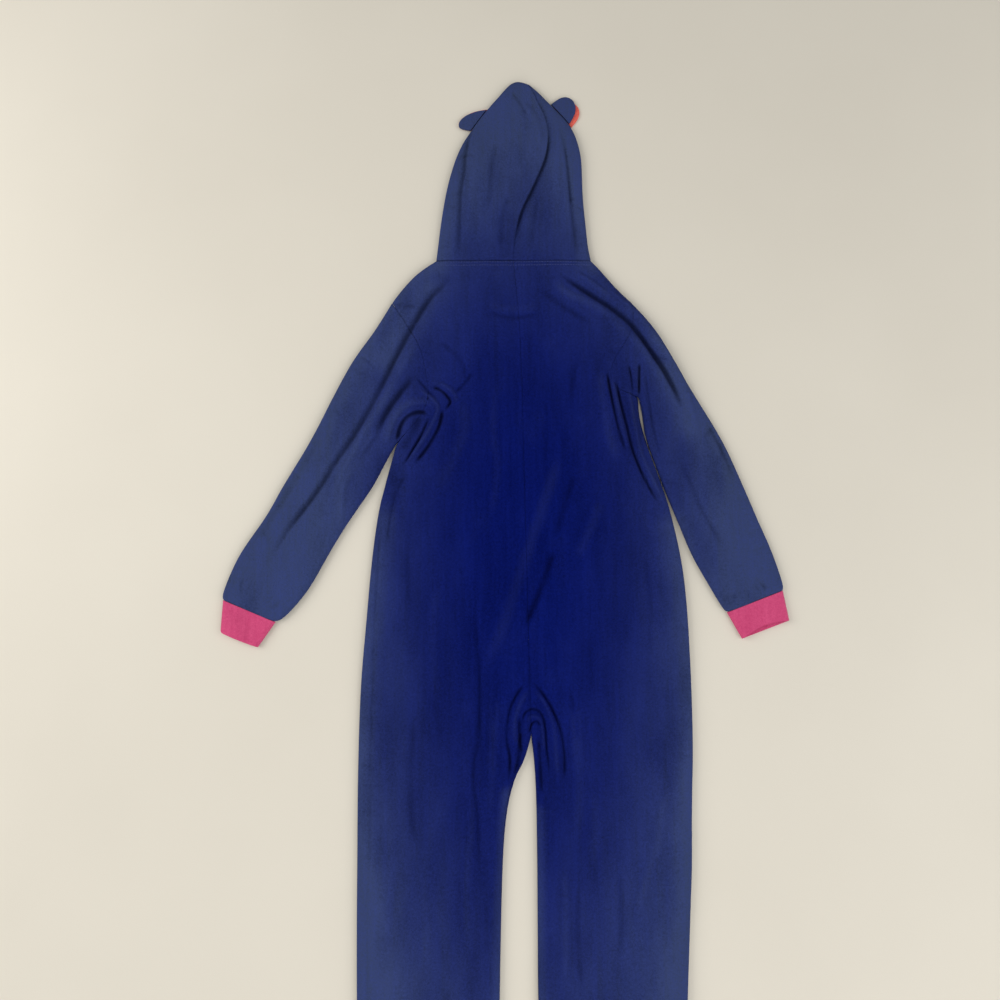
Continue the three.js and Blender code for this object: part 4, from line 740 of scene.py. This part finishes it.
def build_nap_group():
    """Brushed fleece: clumped fibres, small pills and patches where the pile lies another way,
    with painted shade in crease troughs and painted sheen added over the colour.
    """
    group, gate, out = new_group(
        "fleece nap",
        [("Place", None), ("Dark", (0.0, 0.0, 0.0, 1.0)), ("Light", (1.0, 1.0, 1.0, 1.0)),
         ("Painted Sheen Colour", (0.5, 0.5, 0.5, 1.0)), ("Crease", 0.0), ("Painted Sheen", 0.0), ("Patch", 0.5), ("Nap", 1.0)],
        [("Colour", "NodeSocketColor"), ("Roughness", "NodeSocketFloat"), ("Height", "NodeSocketFloat")],
    )
    place = gate.outputs["Place"]
    fibres = grain(group, stretched(group, place, (1.0, 0.55, 1.0)), FIBRE_SCALE, 2.0)
    pills = grain(group, place, PILL_SCALE, 3.0, 0.7)
    clumps = node(group, "ShaderNodeTexVoronoi", {"feature": "SMOOTH_F1"}, {
        "Vector": place, "Scale": CLUMP_SCALE, "Smoothness": 0.6}).outputs["Distance"]
    patches = grain(group, stretched(group, place, (1.0, 0.42, 1.0)), PATCH_SCALE, 4.0, 0.55)
    streaks = grain(group, stretched(group, place, (1.0, 0.06, 1.0)), STREAK_SCALE, 2.0)
    fine = maths(group, "ADD", maths(group, "MULTIPLY", pills, 0.5), maths(group, "MULTIPLY", fibres, 0.5))
    shade = maths(group, "MULTIPLY", maths(group, "SUBTRACT", patches, 0.5), gate.outputs["Patch"])
    for part, amount in ((fine, FINE_SHADE), (streaks, STREAK_SHADE)):
        swing = maths(group, "MULTIPLY", maths(group, "SUBTRACT", part, 0.5), amount)
        shade = maths(group, "ADD", shade, swing)
    shade = maths(group, "ADD", shade, 0.5, clamp=True)
    # Painted shade darkens the colour in a crease's trough; painted sheen, more on a ridge, is added over it
    trough = maths(group, "MINIMUM", gate.outputs["Crease"], 0.0)
    ridge = maths(group, "MAXIMUM", gate.outputs["Crease"], 0.0)
    painted_trough_shade = ranged(group, trough, PAINTED_TROUGH_SHADE, 1.0)
    deep = mixed(group, shade, gate.outputs["Dark"], gate.outputs["Light"])
    deep = mixed(group, 1.0, deep, painted_trough_shade, "MULTIPLY")
    stirred = ranged(group, maths(group, "ADD", fine, patches), 1.5, -0.5)
    painted_sheen_veil = maths(group, "ADD", gate.outputs["Painted Sheen"], maths(group, "MULTIPLY", ridge, PAINTED_RIDGE_SHEEN))
    painted_sheen_veil = maths(group, "MULTIPLY", maths(group, "MULTIPLY", painted_sheen_veil, painted_trough_shade), stirred)
    group.links.new(mixed(group, painted_sheen_veil, deep, gate.outputs["Painted Sheen Colour"], "ADD"), out.inputs["Colour"])
    group.links.new(ranged(group, fine, 0.16, 0.84), out.inputs["Roughness"])
    fine_part = maths(group, "MULTIPLY", fine, FINE_HEIGHT)
    height = maths(group, "ADD", fine_part, maths(group, "MULTIPLY", clumps, CLUMP_HEIGHT))
    height = maths(group, "ADD", height, maths(group, "MULTIPLY", streaks, STREAK_HEIGHT))
    group.links.new(maths(group, "MULTIPLY", height, gate.outputs["Nap"]), out.inputs["Height"])
    return group


NAP = build_nap_group()


def new_material(name):
    """A material with its tree and its shader, joined to the output."""
    finish = bpy.data.materials.new(name)
    finish.use_nodes = True
    tree = finish.node_tree
    tree.nodes.clear()
    shader = tree.nodes.new("ShaderNodeBsdfPrincipled")
    output = tree.nodes.new("ShaderNodeOutputMaterial")
    tree.links.new(shader.outputs["BSDF"], output.inputs["Surface"])
    return finish, tree, shader


def object_place(tree):
    """The place on the object, in metres."""
    return tree.nodes.new("ShaderNodeTexCoord").outputs["Object"]


def bumped(tree, shader, height, distance):
    """A bump on the shader, from a pattern's height."""
    made = node(tree, "ShaderNodeBump", {}, {"Height": height, "Distance": distance, "Strength": 1.0})
    tree.links.new(made.outputs["Normal"], shader.inputs["Normal"])


def coloured(tree, shader, share, dark, light):
    """Base Color between a dark and a light tone."""
    tree.links.new(mixed(tree, share, (*dark, 1.0), (*light, 1.0)), shader.inputs["Base Color"])


def roughened(tree, shader, share, span, low):
    """Roughness that starts at a low value and grows over a span."""
    tree.links.new(ranged(tree, share, span, low), shader.inputs["Roughness"])


def napped(name, dark, light, painted_sheen_veil, patch, sheen, sheen_tint, nap):
    """A fleece in one colour, with its sheen set on the shader, and painted sheen and painted crease shade
    in its colour.
    """
    finish, tree, shader = new_material(name)
    made = node(tree, "ShaderNodeGroup", {"node_tree": NAP})
    tree.links.new(object_place(tree), made.inputs["Place"])
    for layer, socket in (("crease", "Crease"), ("painted_sheen", "Painted Sheen")):
        kept = node(tree, "ShaderNodeAttribute", {"attribute_name": layer})
        tree.links.new(kept.outputs["Fac"], made.inputs[socket])
    for socket, tone in (("Painted Sheen Colour", painted_sheen_veil), ("Dark", dark), ("Light", light)):
        made.inputs[socket].default_value = (*tone, 1.0)
    made.inputs["Patch"].default_value = patch
    made.inputs["Nap"].default_value = nap
    tree.links.new(made.outputs["Colour"], shader.inputs["Base Color"])
    tree.links.new(made.outputs["Roughness"], shader.inputs["Roughness"])
    bumped(tree, shader, made.outputs["Height"], NAP_DEPTH)
    shader.inputs["Specular IOR Level"].default_value = FLEECE_GLOSS
    shader.inputs["Sheen Weight"].default_value = sheen
    shader.inputs["Sheen Tint"].default_value = (*sheen_tint, 1.0)
    shader.inputs["Sheen Roughness"].default_value = SHEEN_ROUGH
    return finish


# Each fleece's third tone is a painted sheen colour added over its own colour; pink and coral get none
blue_fleece = napped(
    "blue_fleece", dark=(0.0004, 0.0024, 0.052), light=(0.0028, 0.0085, 0.138),
    painted_sheen_veil=(0.031, 0.043, 0.046), patch=0.8, sheen=0.03, sheen_tint=(0.72, 0.80, 1.0), nap=1.0,
)
pink_fleece = napped(
    "pink_fleece", dark=(0.46, 0.042, 0.135), light=(0.61, 0.082, 0.205),
    painted_sheen_veil=(0.0, 0.0, 0.0), patch=0.35, sheen=0.25, sheen_tint=(1.0, 0.75, 0.85), nap=0.6,
)
coral_fleece = napped(
    "coral_fleece", dark=(0.62, 0.085, 0.065), light=(0.86, 0.17, 0.13),
    painted_sheen_veil=(0.0, 0.0, 0.0), patch=0.35, sheen=0.25, sheen_tint=(1.0, 0.8, 0.75), nap=0.8,
)


def waves(tree, where, direction, scale, distortion):
    """Even bands that run one way."""
    made = node(tree, "ShaderNodeTexWave", {"bands_direction": direction}, {
        "Vector": where, "Scale": scale, "Distortion": distortion})
    return made.outputs["Fac"]


def blended(tree, first, first_share, second, second_share):
    """Two values, each times its share, added up."""
    part = maths(tree, "MULTIPLY", first, first_share)
    return maths(tree, "ADD", part, maths(tree, "MULTIPLY", second, second_share))


def thread_material():
    """Twisted sewing thread."""
    finish, tree, shader = new_material("blue_thread")
    twist = waves(tree, object_place(tree), "DIAGONAL", TWIST_SCALE, distortion=1.5)
    coloured(tree, shader, twist, dark=(0.018, 0.03, 0.15), light=(0.055, 0.08, 0.27))
    roughened(tree, shader, twist, span=0.2, low=0.45)
    bumped(tree, shader, twist, TWIST_DEPTH)
    return finish


def tape_material():
    """Woven zip tape: ribs across, cords along, and a little fuzz."""
    finish, tree, shader = new_material("zip_tape_weave")
    place = object_place(tree)
    ribs = waves(tree, place, "Y", RIB_SCALE, distortion=0.4)
    cords = waves(tree, place, "X", CORD_SCALE, distortion=0.4)
    fuzz = grain(tree, place, FUZZ_SCALE)
    shade = blended(tree, maths(tree, "MULTIPLY", ribs, cords), 0.6, fuzz, 0.4)
    coloured(tree, shader, shade, dark=(0.006, 0.011, 0.05), light=(0.018, 0.030, 0.12))
    roughened(tree, shader, fuzz, span=0.2, low=0.66)
    bumped(tree, shader, shade, WEAVE_DEPTH)
    return finish


def metal_material():
    """Satin plating, scuffed along its length and dull in places."""
    finish, tree, shader = new_material("zip_metal_worn")
    place = object_place(tree)
    scuffs = grain(tree, stretched(tree, place, (1.0, 0.15, 1.0)), SCUFF_SCALE, 4.0, 0.7)
    dull = grain(tree, place, DULL_SCALE)
    coloured(tree, shader, dull, dark=(0.36, 0.365, 0.38), light=(0.56, 0.56, 0.57))
    roughened(tree, shader, scuffs, span=0.3, low=0.22)
    shader.inputs["Metallic"].default_value = 1.0
    bumped(tree, shader, scuffs, SCUFF_DEPTH)
    return finish


def tooth_material():
    """Blue nylon, a little worn."""
    finish, tree, shader = new_material("zip_teeth_nylon")
    worn = grain(tree, object_place(tree), WORN_SCALE)
    coloured(tree, shader, worn, dark=(0.008, 0.014, 0.06), light=(0.022, 0.036, 0.14))
    roughened(tree, shader, worn, span=0.25, low=0.3)
    return finish


def floor_material():
    """A pale matt cover with a fine grain."""
    finish, tree, shader = new_material("pale_floor")
    place = object_place(tree)
    soft = grain(tree, place, SOFT_SCALE, 3.0, 0.5)
    linen = grain(tree, place, LINEN_SCALE, 2.0)
    shade = blended(tree, soft, 0.8, linen, 0.2)
    coloured(tree, shader, shade, dark=(0.60, 0.56, 0.485), light=(0.70, 0.66, 0.58))
    roughened(tree, shader, linen, span=0.1, low=0.85)
    bumped(tree, shader, shade, FLOOR_DEPTH)
    return finish


thread = thread_material()
tape_weave = tape_material()
worn_metal = metal_material()
tooth_nylon = tooth_material()

# Cloth pieces: node, rounding levels, finish, slot, and the plan boxes that are cut finer
CLOTH = [
    ("back_left", 3, blue_fleece, "fleece", [(-160, 40, -60, 172), (0, -420, 42, -248)]),
    ("back_right", 3, blue_fleece, "fleece", [(150, 0, 245, 200), (42, -420, 100, -248)]),
    ("front_left", 2, blue_fleece, "fleece", []),
    ("front_right", 2, blue_fleece, "fleece", []),
    ("sleeve_left", 3, blue_fleece, "fleece", [(-240, 0, -90, 220)]),
    ("sleeve_right", 3, blue_fleece, "fleece", [(190, 80, 290, 300)]),
    ("hood_left", 3, blue_fleece, "fleece", []),
    ("hood_right", 3, blue_fleece, "fleece", []),
    ("cuff_left", 3, pink_fleece, "cuff_fleece", []),
    ("cuff_right", 3, pink_fleece, "cuff_fleece", []),
    ("ear_left_back", 3, blue_fleece, "fleece", []),
    ("ear_right_back", 3, blue_fleece, "fleece", []),
    ("ear_left_front", 3, coral_fleece, "ear_fleece", []),
    ("ear_right_front", 3, coral_fleece, "ear_fleece", []),
]

# The most faces that are cut finer in one piece
MOST_REFINED = 5200

# Ears' front layers that lie a little aside of their backs, along the hood's edge, in millimetres
TUCKED = {"ear_left_front": (1.3, 2.2), "ear_right_front": (3.7, -4.2)}

cloth = {}
for node_name, levels, finish, slot_name, boxes in CLOTH:
    piece = shaped_from(node_name, levels)
    if boxes:
        refine(piece, boxes, MOST_REFINED)
    if node_name in TUCKED:
        tuck(piece, TUCKED[node_name])
    crease_cloth(piece)
    finished(piece, "garment", finish, slot_name)
    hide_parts(node_name)
    cloth[node_name] = piece


def surface_of(names):
    """A function that finds how high the top of some cloth pieces is at a plan point."""
    trees = []
    for name in names:
        mesh = cloth[name].data
        faces = [face.vertices[:] for face in mesh.polygons]
        trees.append(BVHTree.FromPolygons([vertex.co for vertex in mesh.vertices], faces))

    def height(x, y):
        hits = [tree.ray_cast(spot(x, y, RAY_HEIGHT), Vector((0, 0, -1)))[0] for tree in trees]
        heights = [hit.z / MM for hit in hits if hit is not None]
        return max(heights) if heights else None
    return height


def stitch_master():
    """One stitch of thread, its long way along X, modelled once and copied for the others."""
    bpy.ops.object.select_all(action="DESELECT")
    bpy.ops.mesh.primitive_cylinder_add(
        vertices=STITCH_SIDES, radius=STITCH_THICK / 2 * MM, depth=STITCH_LONG * STITCH_BODY * MM,
        rotation=(0, math.pi / 2, 0))
    master = bpy.context.object
    bpy.ops.object.transform_apply(location=True, rotation=True, scale=True)
    bpy.ops.object.mode_set(mode="EDIT")
    bpy.ops.mesh.select_mode(type="FACE")
    bpy.ops.mesh.select_all(action="DESELECT")
    bpy.ops.object.mode_set(mode="OBJECT")
    for face in master.data.polygons:
        face.select = abs(face.normal.x) > FACING_ALONG
    bpy.ops.object.mode_set(mode="EDIT")
    bpy.ops.mesh.inset(thickness=STITCH_THICK * STITCH_TIP_INSET * MM, depth=STITCH_LONG * STITCH_TIP * MM)
    bpy.ops.object.mode_set(mode="OBJECT")
    return master


def sew(name, rows, names):
    """Rows of stitches laid on the top of some cloth pieces."""
    height = surface_of(names)
    master = stitch_master()
    copies = []
    for start, end in rows:
        way = Vector((end[0] - start[0], end[1] - start[1]))
        count = int(way.length / STITCH_PITCH)
        for k in range(count):
            share = (k + STITCH_START) / count
            a = Vector(start) + way * share
            b = Vector(start) + way * (share + STITCH_LONG / way.length)
            levels = [height(*a), height(*b)]
            if None in levels or abs(levels[0] - levels[1]) > STITCH_STEP:
                continue
            first, last = spot(*a, levels[0] + STITCH_PROUD), spot(*b, levels[1] + STITCH_PROUD)
            one = master.copy()
            one.data = master.data.copy()
            bpy.context.scene.collection.objects.link(one)
            one.location = (first + last) / 2
            one.rotation_mode = "QUATERNION"
            one.rotation_quaternion = Vector((1, 0, 0)).rotation_difference(last - first)
            copies.append(one)
    bpy.data.objects.remove(master)
    bpy.ops.object.select_all(action="DESELECT")
    for one in copies:
        one.select_set(True)
    bpy.context.view_layer.objects.active = copies[0]
    bpy.ops.object.join()
    sewn = bpy.context.object
    sewn.name = name
    bpy.ops.object.transform_apply(location=True, rotation=True, scale=True)
    return finished(sewn, "garment", thread, "fleece")


def rows_at(heights, ends):
    """Level rows from one end to the other."""
    return [((ends[0], height), (ends[1], height)) for height in heights]


neck_rows = rows_at([NECK_Y - row for row in NECK_ROWS], NECK_ENDS)
neck_stitches = sew("neck_topstitching", neck_rows, ["back_left", "back_right"])
hem_stitches = {}
for hand, ends in HEM_ENDS.items():
    hem_rows = rows_at([HEM_Y + row for row in HEM_ROWS], ends)
    hem_stitches[hand] = sew(f"hem_stitching_{hand}", hem_rows, [f"back_{hand}"])


def repeated(piece, name, step, count):
    """Copies of a piece in a row, each a step further on, in millimetres."""
    row = piece.modifiers.new(name, "ARRAY")
    row.use_relative_offset = False
    row.use_constant_offset = True
    row.constant_offset_displace = (step.x * MM, step.y * MM, 0)
    row.count = count
    bpy.ops.object.modifier_apply(modifier=name)


def zip_chain():
    """The closed chain of small teeth between the tapes."""
    bpy.ops.object.select_all(action="DESELECT")
    bpy.ops.mesh.primitive_cube_add(size=1)
    tooth = bpy.context.object
    tooth.scale = [size * MM for size in TOOTH]
    bpy.ops.object.transform_apply(location=False, rotation=False, scale=True)
    bpy.ops.object.mode_set(mode="EDIT")
    bpy.ops.mesh.select_all(action="SELECT")
    bpy.ops.mesh.bevel(offset=TOOTH_ROUND * MM, segments=1, affect="EDGES")
    bpy.ops.object.mode_set(mode="OBJECT")
    top, foot = Vector(ZIP_TOP), Vector(ZIP_FOOT)
    way = (foot - top).normalized()
    side = Vector((-way.y, way.x))
    count = int(((foot - top).length - TOOTH_FIRST) / TOOTH_PITCH)
    tooth.location = spot(*(top + way * TOOTH_FIRST - side * TOOTH_ASIDE), TOOTH_Z)
    tooth.rotation_euler = (0, 0, math.atan2(way.y, way.x) + math.pi / 2)
    bpy.ops.object.transform_apply(location=True, rotation=True, scale=True)
    repeated(tooth, "pair", side * 2 * TOOTH_ASIDE + way * TOOTH_PITCH / 2, 2)
    repeated(tooth, "run", way * TOOTH_PITCH, count)
    tooth.name = "zip_teeth"
    return finished(tooth, "garment", tooth_nylon, "zip_tape")


zip_chain()

# Solids that stay as they are, and their finishes
KEPT = {
    "zip_tape_left": tape_weave, "zip_tape_right": tape_weave,
    "zip_slider": worn_metal, "zip_pull": worn_metal,
}
for node_name, finish in KEPT.items():
    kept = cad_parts[node_name]
    kept.data.materials.clear()
    kept.data.materials.append(finish)

# The rows of stitches that lie on a sheet
STITCHED = {
    "back_left": [hem_stitches["left"], neck_stitches], "back_right": [hem_stitches["right"]],
}
for node_name, piece in cloth.items():
    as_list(STITCHED.get(node_name, []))

# The floor, which isn't part of the garment
bpy.ops.object.select_all(action="DESELECT")
bpy.ops.mesh.primitive_plane_add(size=FLOOR_SIZE, location=(0, 0, -FLOOR_DROP * MM))
floor = bpy.context.object
floor.name = "floor"
floor.data.materials.append(floor_material())


def soft_light(name, place, target, size, power, colour):
    """A large square lamp at a place, turned to a target, in metres and watts."""
    data = bpy.data.lights.new(name, "AREA")
    data.shape = "SQUARE"
    data.size = size
    data.energy = power
    data.color = colour
    lamp = bpy.data.objects.new(name, data)
    bpy.context.scene.collection.objects.link(lamp)
    lamp.location = place
    lamp.rotation_euler = (Vector(target) - Vector(place)).to_track_quat("-Z", "Y").to_euler()


soft_light(
    "window_side", place=(-1.9, 0.5, 1.2), target=(0, 0, 0), size=1.4, power=31, colour=(1.0, 0.985, 0.96))
soft_light(
    "feet_side", place=(0.2, -2.2, 1.4), target=(0, -0.2, 0), size=1.5, power=24, colour=(1.0, 0.98, 0.95))
soft_light(
    "far_side", place=(2.0, -0.3, 1.5), target=(0, 0, 0), size=1.8, power=25, colour=(0.97, 0.98, 1.0))

world = bpy.data.worlds.new("soft_room")
bpy.context.scene.world = world
world.use_nodes = True
background = world.node_tree.nodes["Background"]
background.inputs["Color"].default_value = ROOM_COLOUR
background.inputs["Strength"].default_value = ROOM_STRENGTH

bpy.context.scene.view_settings.view_transform = "Standard"

# Camera above the upper back, leaning back towards the legs
aim = spot(0, 0)
lens = bpy.data.cameras.new("camera")
lens.lens = LENS
lens.sensor_width = SENSOR
lens.dof.use_dof = False
camera = bpy.data.objects.new("camera", lens)
bpy.context.scene.collection.objects.link(camera)
camera.location = aim + Vector((0, -math.sin(CAMERA_LEAN), math.cos(CAMERA_LEAN))) * CAMERA_AWAY
camera.rotation_euler = (CAMERA_LEAN, 0, 0)
bpy.context.scene.camera = camera
